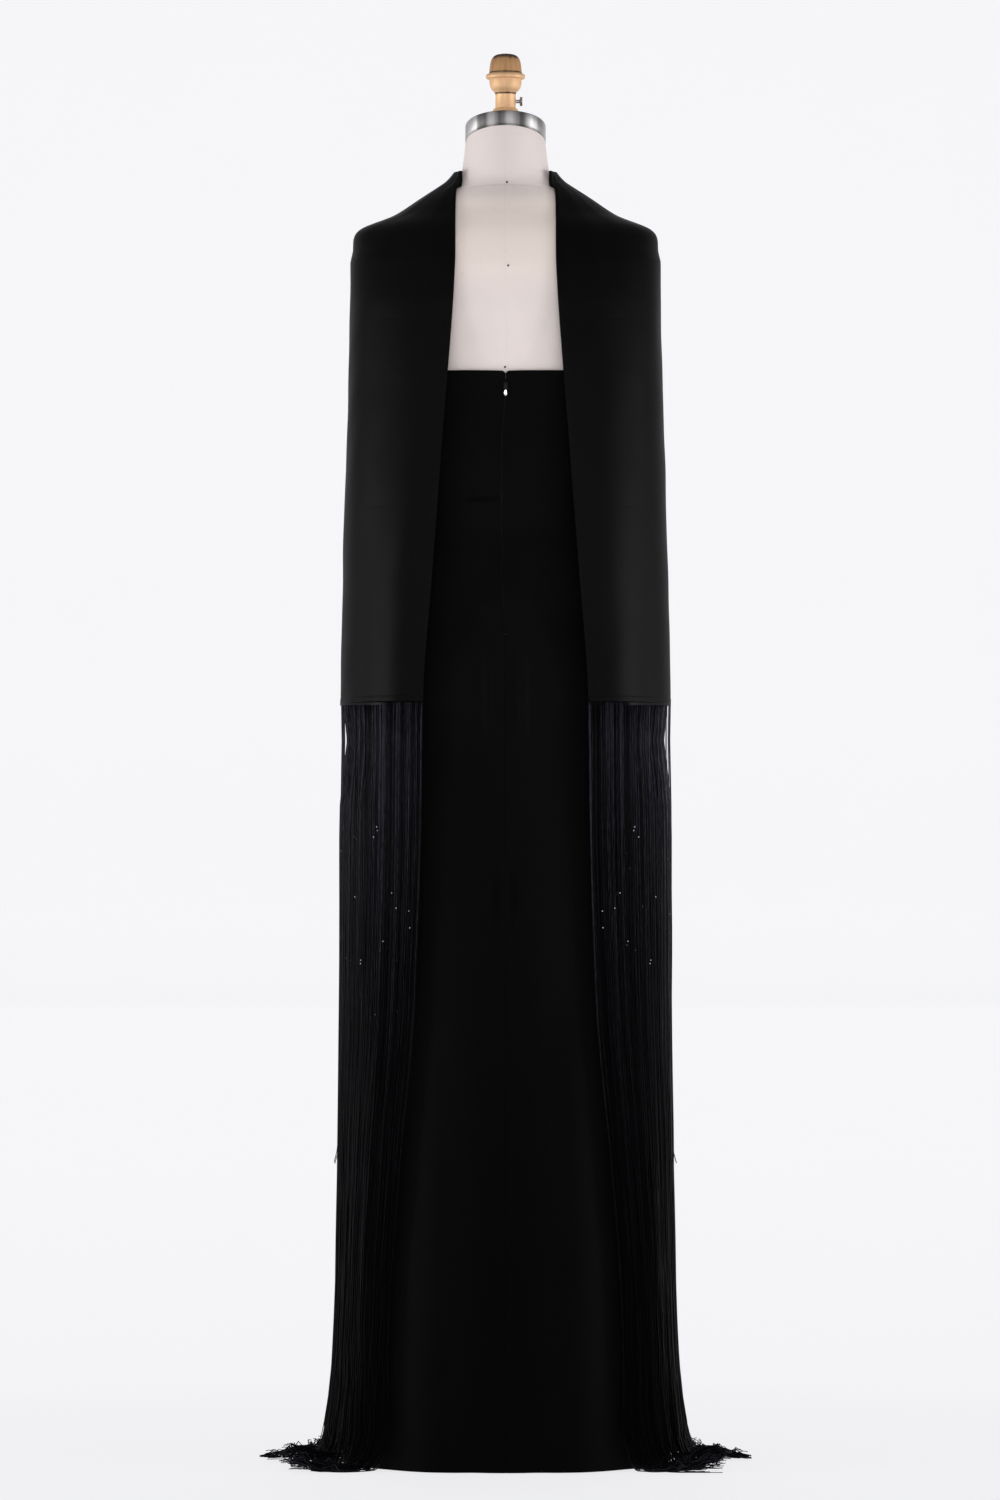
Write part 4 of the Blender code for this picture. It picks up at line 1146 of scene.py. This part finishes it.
def scarf_section(height):
    """A scarf's outer section: on the shoulder, or hanging, whichever stands further out.

    The greater of two sizes a and b is eased over a width w: (a + b + root((a - b)^2 + w^2)) / 2.
    Each size is then the mean of seven within 6 mm up and down, which rounds the shoulders.
    """
    near = np.linspace(-0.006, 0.006, 7)
    level = np.minimum(height[:, None] + near, SCARF_TOP).ravel()
    hang = sections(HANG_TABLE, level)
    under = sections(BODY_TABLE, level - CLOTH_OUT)
    gap = CLOTH_OUT + (CLOTH_OUT + SEAM_GAP) * smooth((1.465 - level) / 0.03)
    section = {}
    for size in ("side", "back", "front"):
        a, b = hang[size], under[size] + gap
        section[size] = (a + b + np.sqrt((a - b) ** 2 + 0.0012**2)) / 2
    on_form = smooth((level - 1.440) / 0.10)
    section["square"] = hang["square"] + (under["square"] - hang["square"]) * on_form
    section["middle"] = under["middle"] * smooth((level - 1.49) / 0.05)
    section = {n: v.reshape(len(height), -1).mean(axis=1) for n, v in section.items()}
    edges = sections(HANG_TABLE, height)
    return section, edges["edge_back"], edges["edge_front"]


def scarf_lines(height, samples=160):
    """Each height's outline from the scarf's back edge, round the side, to its front edge."""
    section, edge_back, edge_front = scarf_section(height)
    back = quarter(section, height, 1, swell=False, samples=samples)[:, ::-1]
    front = quarter(section, height, -1, swell=False, samples=samples)[:, 1:]
    lines = []
    for b, f, low, high in zip(back, front, edge_back, edge_front):
        start = np.array([[low, np.interp(low, b[:, 0], b[:, 1])]])
        kept_front = f[f[:, 0] > high]
        end = np.array([[high, np.interp(-high, -f[:, 0], f[:, 1])]])
        lines.append(np.concatenate([start, b[b[:, 0] > low], kept_front, end]))
    return lines


def scarf_grid(height, fractions):
    """Points of a scarf or its fringe at heights and fractions, without folds, and the way out."""
    lines = scarf_lines(height)
    flat = spaced(lines, fractions)
    near, far = np.clip(fractions + 0.006, 0, 1), np.clip(fractions - 0.006, 0, 1)
    course = unit(spaced(lines, near) - spaced(lines, far))
    out = np.stack([-course[:, :, 1], course[:, :, 0]], axis=2)
    out *= np.sign((out * flat).sum(axis=2))[:, :, None]
    return flat, out


class GOWN_OT_scarves(bpy.types.Operator):
    """Lays a scarf over each shoulder, with rolled edges, a turned hem and long soft folds"""

    bl_idname = "gown.scarves"
    bl_label = "Scarves"

    def execute(self, context):
        """Each scarf is its hanging sections, raised by folds, rolled edges and slow ripples."""
        look = context.scene.gown_cloth
        finish = crepe_finish("scarf_crepe", look.scarf, 0.46, 0.010, 0.03, (1.354, 1.418, 1.186))
        height = np.concatenate(
            [
                SCARF_HEM + np.array([0, 0.001, 0.0025, 0.005, 0.0062, 0.0072, 0.0084, 0.010]),
                np.linspace(0.96, 1.48, 96),
                np.linspace(1.485, SCARF_TOP, 84),
            ]
        )
        even = np.linspace(0, 1, 104)
        fractions = even + 0.045 * np.sin(2 * math.pi * even)
        flat, out = scarf_grid(height, fractions)
        z = height[:, None]
        grid, outward = with_height(flat, z), with_height(out, 0.5)
        normal = normals(grid, outward)
        place = np.broadcast_to(fractions, flat.shape[:2])
        hang = smooth((1.50 - z) / 0.12)
        width = steps(flat, 1).sum(axis=1)[:, None]
        long = float(steps(grid, 0).sum(axis=0).max())
        flat_cut = (float(width.max()) + CUT_SPARE, long + CUT_SPARE)
        area = float((width[1:, 0] * steps(grid, 0).mean(axis=1)).sum())
        area = min(area, flat_cut[0] * flat_cut[1])
        for side, sign in SIDES.items():
            seed = 21 if sign > 0 else 34
            lift = folds(SCARF_FOLDS, place, z, SCARF_HEM)
            lift = lift + 0.0010 * hang * ripples(place * 0.8, z * 0.7, 0.30, seed)
            lift = lift + 0.0004 * ripples(place * 0.4, z, 0.10, seed + 1)
            edge = np.minimum(place, 1 - place) * width
            lift = lift + hem_band(edge, look.hem) + hem_band(z - SCARF_HEM, look.hem)
            lift = lift - 0.0011 * bell(edge / 0.0016)
            lift = lift + 0.0016 * smooth((z - 1.593) / 0.010)
            outer = (grid + normal * lift[:, :, None]) * (sign, 1, 1)
            wave = 0.0012 * np.sin(2 * math.pi * (fractions * 1.3 + 0.12))
            outer[:, :, 2] += wave * (1 if sign > 0 else 0.7) * smooth((1.05 - z) / 0.1)
            made = cloth(
                f"scarf_{side}_crepe", outer, outward * (sign, 1, 1), look.thick, finish,
                "scarf_crepe", cloth_uv(grid),
            )
            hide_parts(f"scarf_{side}")
        return {"FINISHED"}


def wander(draw, strands, rows, knots):
    """Smooth random walks, one a strand: seeded numbers at a few knots, eased between them."""
    marks = draw.normal(0, 1, (strands, knots))
    at = np.linspace(0, knots - 1, rows)
    k = np.minimum(at.astype(int), knots - 2)
    t = smooth(at - k)
    return marks[:, k] * (1 - t) + marks[:, k + 1] * t


class GOWN_OT_fringe(bpy.types.Operator):
    """Hangs hundreds of yarns under each scarf, which gather towards the floor and pool there"""

    bl_idname = "gown.fringe"
    bl_label = "Fringe"

    def execute(self, context):
        """Each yarn is a thin tube along a path, which hangs and then runs out on the floor."""
        look = context.scene.gown_fringe
        yarn = yarn_finish("fringe_yarn", look.yarn, look.glint)
        for side, sign in SIDES.items():
            draw = np.random.default_rng(look.seed + (sign < 0))
            paths, tone = self.paths(look, draw)
            paths = paths * (sign, 1, 1)
            points, faces = tubes(paths, look.radius, 3)
            shade = np.broadcast_to(tone[:, :, None], points.shape[:3])
            name = f"fringe_{side}_yarns"
            made = finished(
                name, points, faces, yarn, "fringe", tone=shade, angle=180, turn=False
            )
            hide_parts(f"fringe_{side}")
            self.heading(side, sign, yarn)
            self.beads(side, paths, look, draw)
        return {"FINISHED"}

    def paths(self, look, draw):
        """Paths down from the hem and out on the floor, and each yarn's tone along them.

        Going down, the places across are pulled into gathers by a sine of growing depth, and each
        yarn wanders a little. On the floor a yarn eases from upright to lying, runs outwards while
        the yarns draw together, and lies at its own share of the heap's height.
        """
        count = look.strands
        hang_rows, lie_rows = 26, 20
        even = (np.arange(count) + 0.5) / count
        base = np.clip(even + draw.normal(0, 0.35 / count, count), 0.001, 0.999)[:, None]
        top, foot = SCARF_HEM - 0.0006, 0.046
        height = top - (top - foot) * np.linspace(0, 1, hang_rows) ** 0.92
        down = (top - height) / top
        gather = 0.50 * down**1.6
        small, big = 2 * math.pi * 13, 2 * math.pi * 4
        pull = gather * np.sin(small * base + 0.8 * np.sin(down * 2.2)) / small
        pull = pull + 0.35 * gather * np.sin(big * base + 1.0) / big
        drift = 0.0030 * wander(draw, count, hang_rows, 7) * down * 1.3
        phase = draw.uniform(0, 2 * math.pi, 14)[(base * 13).astype(int)]
        low = smooth((0.21 - height) / 0.12)
        waves = 0.0065 * np.sin(height * 2 * math.pi / 0.082 + phase) * low
        place = np.clip(base - pull + drift + waves, 0.0, 1.0)
        flat, out = (grid.transpose(1, 0, 2) for grid in scarf_grid(height, place.T))
        layer = (np.arange(count)[:, None] % 3 - 1) * 0.0011
        sway = layer + 0.0010 * wander(draw, count, hang_rows, 8) * down
        lift = folds(SCARF_FOLDS, base, SCARF_HEM, SCARF_HEM) * (1 - 0.5 * down)
        sides = smooth((np.abs(flat[:, :, 0]) - 0.14) / 0.05) * bell((height - 0.900) / 0.052)
        held_in = (0.0015 + 0.0080 * (draw.random((count, 1)) > 0.065)) * sides
        hang = with_height(flat + out * (sway + lift - held_in)[:, :, None], height)

        lie = self.heap(look, draw, hang[:, -1], lie_rows)
        paths = np.concatenate([hang, lie], axis=1)
        paths = self.short_tips(paths, draw, hang_rows)
        # Each yarn's tone is a random share of painted glint. Down the hanging part it fades as
        # painted shade, and on the floor it rises towards the tips as painted highlight.
        tone = draw.random((count, 1)) ** 1.6
        hanging = 0.15 + 0.85 * np.exp(-down / 0.27)
        fade = np.concatenate([hanging, np.linspace(0.20, 0.95, lie_rows)])
        return paths, np.clip(tone * fade, 0, 1)

    def heap(self, look, draw, foot, rows):
        """Where the yarns lie: five ropes of yarn that run outwards on the floor.

        A rope's middle line runs from the fringe to its own end, and its radius R depends on X.
        A yarn keeps to a place (r, a) in it, turned by its twist: the offset across is R r cos(a)
        and the height is R (1 + r sin(a)). Some yarns end in an upright curl, the rest lie
        straight. A third of the yarns stay between the ropes and lie flatter and shorter.
        """
        each = (len(foot), 1)
        foot_x, foot_y, foot_z = foot.T[:, :, None]
        s = np.linspace(0, 1, rows + 1)[1:]
        furthest = look.spread - 0.001
        ropes = table(ROPE_COLUMNS, ROPES)
        shift = draw.normal(0, 0.012, (each[0], len(ROPES)))
        nearest = np.abs(foot_y - ropes["aim"] + shift).argmin(axis=1)[:, None]
        aim, end, size, often = (ropes[name][nearest] for name in ROPE_COLUMNS)
        curled = draw.random(each) < often
        short = np.where(curled, 0.012 * draw.random(each), 0.030 * draw.random(each) ** 1.3)
        tip = np.minimum(end, furthest) - short - 0.035 * (draw.random(each) < 0.15)
        between = draw.random(each) < 0.36
        aim = np.where(between, foot_y * 1.04 + draw.normal(0, 0.004, each), aim)
        tip = np.where(between, draw.uniform(0.212, 0.246, each), tip)
        size = np.where(between, draw.uniform(0.2, 0.6, each), size)
        x = foot_x + (tip - foot_x) * (0.35 * s**2 + 0.65 * s)
        radius = 0.0085 * bell((x - 0.255) / 0.034) + 0.0030 * smooth((0.24 - x) / 0.03)
        radius = (0.0020 + radius) * size
        share = np.sqrt(draw.random(each))
        angle = 2 * math.pi * draw.random(each) + 3.2 * s + 0.5 * wander(draw, each[0], rows, 5)
        gather = smooth(s / 0.55)
        bow = 0.006 * np.sin(4.0 * s + 1.3 * nearest)
        y = foot_y * (1 - gather) + (aim + bow + radius * share * np.cos(angle)) * gather
        level = LIE_LEVEL + radius * (1 + share * np.sin(angle))
        loose = draw.random(each) < 0.035
        y = y + loose * np.sign(aim) * gather * draw.uniform(0.010, 0.030, each)
        level = np.where(loose, 0.0016 + 0.002 * draw.random(each), level)
        bend = smooth((s - 0.72) / 0.28) * curled * draw.uniform(3.0, 5.2, each)
        turn = draw.uniform(0.0024, 0.0042, each)
        x = x + turn * (np.sin(bend) - bend * 0.25)
        level = level + turn * (1 - np.cos(bend))
        upright = np.maximum(1 - s / 0.30, 0) ** 2
        z = level + (foot_z - level) * upright
        x, y = np.minimum(x, furthest), np.clip(y, -0.150, 0.1525)
        return np.stack([x, y, np.maximum(z, LIE_LEVEL)], axis=2)

    def short_tips(self, paths, draw, hang_rows):
        """A few yarns at the side end early and flick outwards, a third of a metre up."""
        rows = paths.shape[1]
        outermost = paths[:, hang_rows // 2, 0].argsort()[-30:]
        for number in outermost[::11]:
            cut = 0.372 - 0.004 * draw.random()
            whole = paths[number, :hang_rows]
            z = np.linspace(whole[0, 2], cut, rows)
            x, y = (np.interp(-z, -whole[:, 2], whole[:, k]) for k in (0, 1))
            flick = smooth((cut + 0.020 - z) / 0.020) * 0.0045
            paths[number] = np.stack([x + flick, y, z], axis=1)
        return paths

    def heading(self, side, sign, yarn):
        """The narrow stitched strip that the yarns hang from, a flattened loop under the hem."""
        fractions = np.linspace(0.0, 1.0, 150)
        height = np.array([SCARF_HEM - 0.0004, SCARF_HEM - 0.0036])
        flat, out = scarf_grid(height, fractions)
        lift = folds(SCARF_FOLDS, fractions, SCARF_HEM, SCARF_HEM)[None, :, None]
        outer = with_height(flat + out * (lift + 0.0006), height[:, None])
        inner = with_height(flat + out * (lift - 0.0022), height[:, None])
        points, faces = loft(np.stack([*outer, *inner[::-1]], axis=1) * (sign, 1, 1))
        dark = np.full(len(points), 0.15)
        finished(f"fringe_{side}_heading", points, faces, yarn, "fringe", tone=dark)

    def beads(self, side, paths, look, draw):
        """Small cut beads threaded on the yarns: a few bright ones, and many darker ones.

        A bright one goes on the yarn nearest to its place that hangs furthest back. Darker ones go
        on the outermost yarns and all over. Each has a size, beside the largest, and a tint.
        """
        hang = paths[:, :24]
        picks = []
        for x, z in BRIGHT_BEADS:
            spots = self.at_height(hang, z)
            away = np.where(spots[:, 1] > 0.03, np.abs(np.abs(spots[:, 0]) - x), np.inf)
            near = away < away.min() + 0.0012
            best = np.where(near, spots[:, 1], -np.inf).argmax()
            picks.append((spots[best], 1.0, 0.0))
        for _ in range(26):
            spots = self.at_height(hang, draw.uniform(0.60, 0.76))
            wide = np.abs(spots[:, 0])
            best = np.where(wide > wide.max() - 0.004)[0]
            picks.append((spots[draw.choice(best)], 0.55, draw.uniform(0.3, 1.0)))
        for _ in range(70):
            spots = self.at_height(hang, draw.uniform(0.55, 0.86))
            picks.append((spots[draw.integers(len(spots))], 0.5, draw.uniform(0, 1)))
        turn = angles(8)
        lift = np.linspace(-math.pi / 2, math.pi / 2, 7)[1:-1, None]
        wide, tall = np.cos(lift), np.sin(lift)
        ball = np.stack([wide * np.cos(turn), wide * np.sin(turn), tall + 0 * turn], axis=2)
        flat_ball, one = loft(ball)
        points, faces, tone = [], [], []
        for spot, size, tint in picks:
            out = spot / np.linalg.norm(spot[:2]) * (1, 1, 0)
            start = len(points) * len(flat_ball)
            points.append(flat_ball * look.bead * size + spot + out * 0.0006)
            faces += [[corner + start for corner in f] for f in one]
            tone.append(np.full(len(flat_ball), tint))
        glass = bead_finish(f"bead_{side}", (0.80, 0.80, 0.84), 0.16)
        name = f"fringe_{side}_beads"
        finished(name, points, faces, glass, "zip_metal", tone=np.concatenate(tone), angle=5)

    def at_height(self, hang, z):
        """Where each hanging yarn is at one height."""
        row = (hang[0, :, 2] > z).sum() - 1
        t = (hang[0, row, 2] - z) / (hang[0, row, 2] - hang[0, row + 1, 2])
        return hang[:, row] * (1 - t) + hang[:, row + 1] * t


class GOWN_OT_zip(bpy.types.Operator):
    """Makes the zip's slider and its hanging pull, and the bar tack at the zip's foot"""

    bl_idname = "gown.zip"
    bl_label = "Zip"

    def execute(self, context):
        """The slider is a rounded plate with an arch on it, and the pull a drop with a slot."""
        bright = pull_finish("zip_metal", (0.74, 0.74, 0.76))
        joint = next(j for j in frame["joints"] if j["child"] == "pull_tab")
        axis = np.array(joint["pos_m"])
        seat = np.array([0.0, axis[1], axis[2]])
        body = sections(BODY_TABLE, np.array([1.30, 1.36]))["back"]
        lean = math.atan2(body[1] - body[0], 0.06)
        out = np.array([0, math.cos(lean), -math.sin(lean)])
        up = np.array([0, math.sin(lean), math.cos(lean)])
        side = np.array([1.0, 0, 0])
        base = seat - out * 0.00275

        turn = angles(36)
        wide, tall = squared(np.cos(turn), 0.55), squared(np.sin(turn), 0.62)
        waist = 1 - 0.16 * np.cos(tall * math.pi) * (np.abs(wide) > 0.4)
        plate = side * (wide * waist * 0.0025)[:, None] + up * (tall * 0.0044)[:, None]
        layers = ((0.0, 0.90), (0.00025, 1.0), (0.0014, 1.0), (0.0017, 0.95), (0.0018, 0.86))
        rings = [base + plate * size + out * level for level, size in layers]
        dark = metal_finish("zip_dark_metal", (0.018, 0.018, 0.02), 0.45)
        slider = finished("zip_slider_cast", *loft(rings), dark, "zip_metal", angle=50)
        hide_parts("zip_slider")

        bend = np.linspace(0, math.pi, 15)
        arch = base + up * (np.cos(bend) * 0.00245)[:, None]
        arch = arch + out * (0.0014 + 0.00275 * np.sin(bend) ** 0.5)[:, None]
        points, faces = tubes(arch[None], 0.00052, 8)
        finished("zip_slider_arch", points, faces, dark, "zip_metal")

        self.pull(axis, bright)
        self.tack()
        return {"FINISHED"}

    def pull(self, axis, bright):
        """A drop-shaped plate with a slot at its top: two nested outlines carried through it."""
        count = 44
        turn = angles(count)
        down = 0.5 - 0.5 * np.cos(turn)
        half = 0.00165 + 0.00050 * smooth((down - 0.35) / 0.3)
        side = squared(np.sin(turn), 0.7)
        outer = np.stack([side * half, 0.00055 - down * 0.01265], axis=1)
        slot = squared(np.sin(turn), 0.5)
        inner = np.stack([slot * 0.00105, -0.00055 - down * 0.0034], axis=1)
        face, edge = 0.00045, 0.00030
        less = outer * (0.96, 0.985)
        rings = [
            axis + np.stack([outline[:, 0], 0 * turn + out, outline[:, 1]], axis=1)
            for outline, out in (
                (outer, -edge), (less, -face), (inner, -face), (inner, face), (less, face),
                (outer, edge),
            )
        ]
        points, faces = loft(rings, caps=False)
        first = np.arange(count)
        last, after = first + (len(rings) - 1) * count, (first + 1) % count
        faces += np.stack([last, last[after], first[after], first], axis=1).tolist()
        drop = finished("zip_pull_drop", points, faces, bright, "zip_metal", "pull_tab", angle=50)
        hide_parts("zip_pull")

    def tack(self):
        """A short bar of thread across the foot of the zip."""
        section = sections(BODY_TABLE, np.array([ZIP_FOOT]))
        x = np.linspace(-0.0016, 0.0016, 9) + 0.0005
        y = section["back"] + CLOTH_OUT + 0.0004 * np.cos(x * 900)
        path = np.stack([x, y, np.full(9, ZIP_FOOT)], axis=1)[None]
        points, faces = tubes(path, 0.0004, 6)
        thread = bpy.data.materials.get("fringe_yarn")
        tone = np.full(points.shape[:3], 0.3)
        finished("zip_bar_tack", points, faces, thread, "fringe", tone=tone)


class GOWN_OT_stage(bpy.types.Operator):
    """Sets the pale floor and wall, the soft lights and the camera"""

    bl_idname = "gown.stage"
    bl_label = "Studio"

    def execute(self, context):
        """The floor runs back, bends up in a quarter circle and rises as the wall.

        A plain ring of like paper stands round it all, for the other views, and gives no light.
        """
        look = context.scene.gown_studio
        bend = np.linspace(0, math.pi / 2, 24)
        back, radius, top, reach = -12.0, 1.8, 9.0, 15.0
        profile = np.concatenate(
            [
                [[reach, 0.0], [2.0, 0.0], [0.0, 0.0], [-4.0, 0.0]],
                np.stack([back - radius * np.sin(bend), radius * (1 - np.cos(bend))], axis=1),
                [[back - radius, top]],
            ]
        )
        x, y = np.meshgrid(np.linspace(-reach, reach, 10), profile[:, 0])
        grid = with_height(np.stack([x, y], axis=2), profile[:, 1:])
        paper = floor_finish("studio_paper", look.floor, look.glow, 0.0)
        sweep = meshed("studio_sweep", grid, grid_faces(*x.shape)[:, ::-1], paper)
        sweep.data.shade_smooth()

        turn, wide = angles(64), reach - 0.1
        levels = [
            np.stack([wide * np.cos(turn), wide * np.sin(turn), 0 * turn + z], axis=1)
            for z in (-0.2, 12.0)
        ]
        paper = floor_finish("studio_far_paper", look.floor, look.glow, 1.0)
        surround = meshed("studio_surround", *loft(levels, caps=False), paper)
        surround.visible_diffuse = False
        surround.visible_glossy = False
        surround.visible_shadow = False
        surround.visible_transmission = False

        world = bpy.data.worlds.new("studio_room")
        world.use_nodes = True
        context.scene.world = world
        sky = world.node_tree.nodes["Background"]
        sky.inputs["Color"].default_value = (1, 1, 1, 1)
        sky.inputs["Strength"].default_value = look.sky
        for side, sign in SIDES.items():
            place, target = (2.7 * sign, 0.50, 0.98), (0, 0.1, 0.98)
            self.softbox(f"side_light_{side}", place, target, (0.8, 0.8), look.side, 40)
        self.softbox("front_light", (0, 3.8, 1.22), (0, 0, 1.22), (2.2, 0.5), look.front, 32)

        camera = bpy.data.cameras.new("camera")
        camera.sensor_fit = "VERTICAL"
        camera.sensor_height = 36.0
        camera.lens = look.lens
        camera.clip_end = 60
        holder = bpy.data.objects.new("camera", camera)
        context.scene.collection.objects.link(holder)
        holder.location = (look.aside, look.distance, look.height)
        holder.rotation_euler = (math.pi / 2, 0, math.pi)
        context.scene.camera = holder
        context.scene.view_settings.view_transform = "Standard"
        return {"FINISHED"}

    def softbox(self, name, place, target, size, power, spread):
        """A large area light that faces a point, with its beam's full angle in degrees."""
        light = bpy.data.lights.new(name, "AREA")
        light.shape = "RECTANGLE"
        light.size, light.size_y = size
        light.energy = power
        light.spread = math.radians(spread)
        holder = bpy.data.objects.new(name, light)
        bpy.context.scene.collection.objects.link(holder)
        holder.location = place
        aim = np.array(target) - np.array(place)
        across = math.atan2(aim[0], -aim[1])
        tilt = math.atan2(math.hypot(aim[0], aim[1]), -aim[2])
        holder.rotation_euler = (tilt, 0, across + math.pi)


class GOWN_PT_pieces(bpy.types.Panel):
    """The gown's pieces and settings"""

    bl_label = "Gown"
    bl_idname = "GOWN_PT_pieces"
    bl_space_type = "VIEW_3D"
    bl_region_type = "UI"
    bl_category = "Gown"

    def draw(self, context):
        for operator in OPERATORS:
            self.layout.operator(operator.bl_idname)
        for group in GROUPS:
            box = self.layout.box()
            held = getattr(context.scene, group)
            for name in held.__annotations__:
                box.prop(held, name)


GROUPS = {
    "gown_cloth": GownClothSettings,
    "gown_fringe": GownFringeSettings,
    "gown_form": GownFormSettings,
    "gown_studio": GownStudioSettings,
}
OPERATORS = (
    GOWN_OT_form,
    GOWN_OT_neck,
    GOWN_OT_gown,
    GOWN_OT_scarves,
    GOWN_OT_fringe,
    GOWN_OT_zip,
    GOWN_OT_stage,
)
CLASSES = (*GROUPS.values(), *OPERATORS, GOWN_PT_pieces)


def register():
    for kind in CLASSES:
        bpy.utils.register_class(kind)
    for name, kind in GROUPS.items():
        setattr(bpy.types.Scene, name, PointerProperty(type=kind))


def unregister():
    for name in GROUPS:
        delattr(bpy.types.Scene, name)
    for kind in reversed(CLASSES):
        bpy.utils.unregister_class(kind)


def main():
    """Makes every piece in order."""
    register()
    bpy.ops.gown.form()
    bpy.ops.gown.neck()
    bpy.ops.gown.gown()
    bpy.ops.gown.scarves()
    bpy.ops.gown.fringe()
    bpy.ops.gown.zip()
    bpy.ops.gown.stage()


if __name__ == "__main__":
    main()
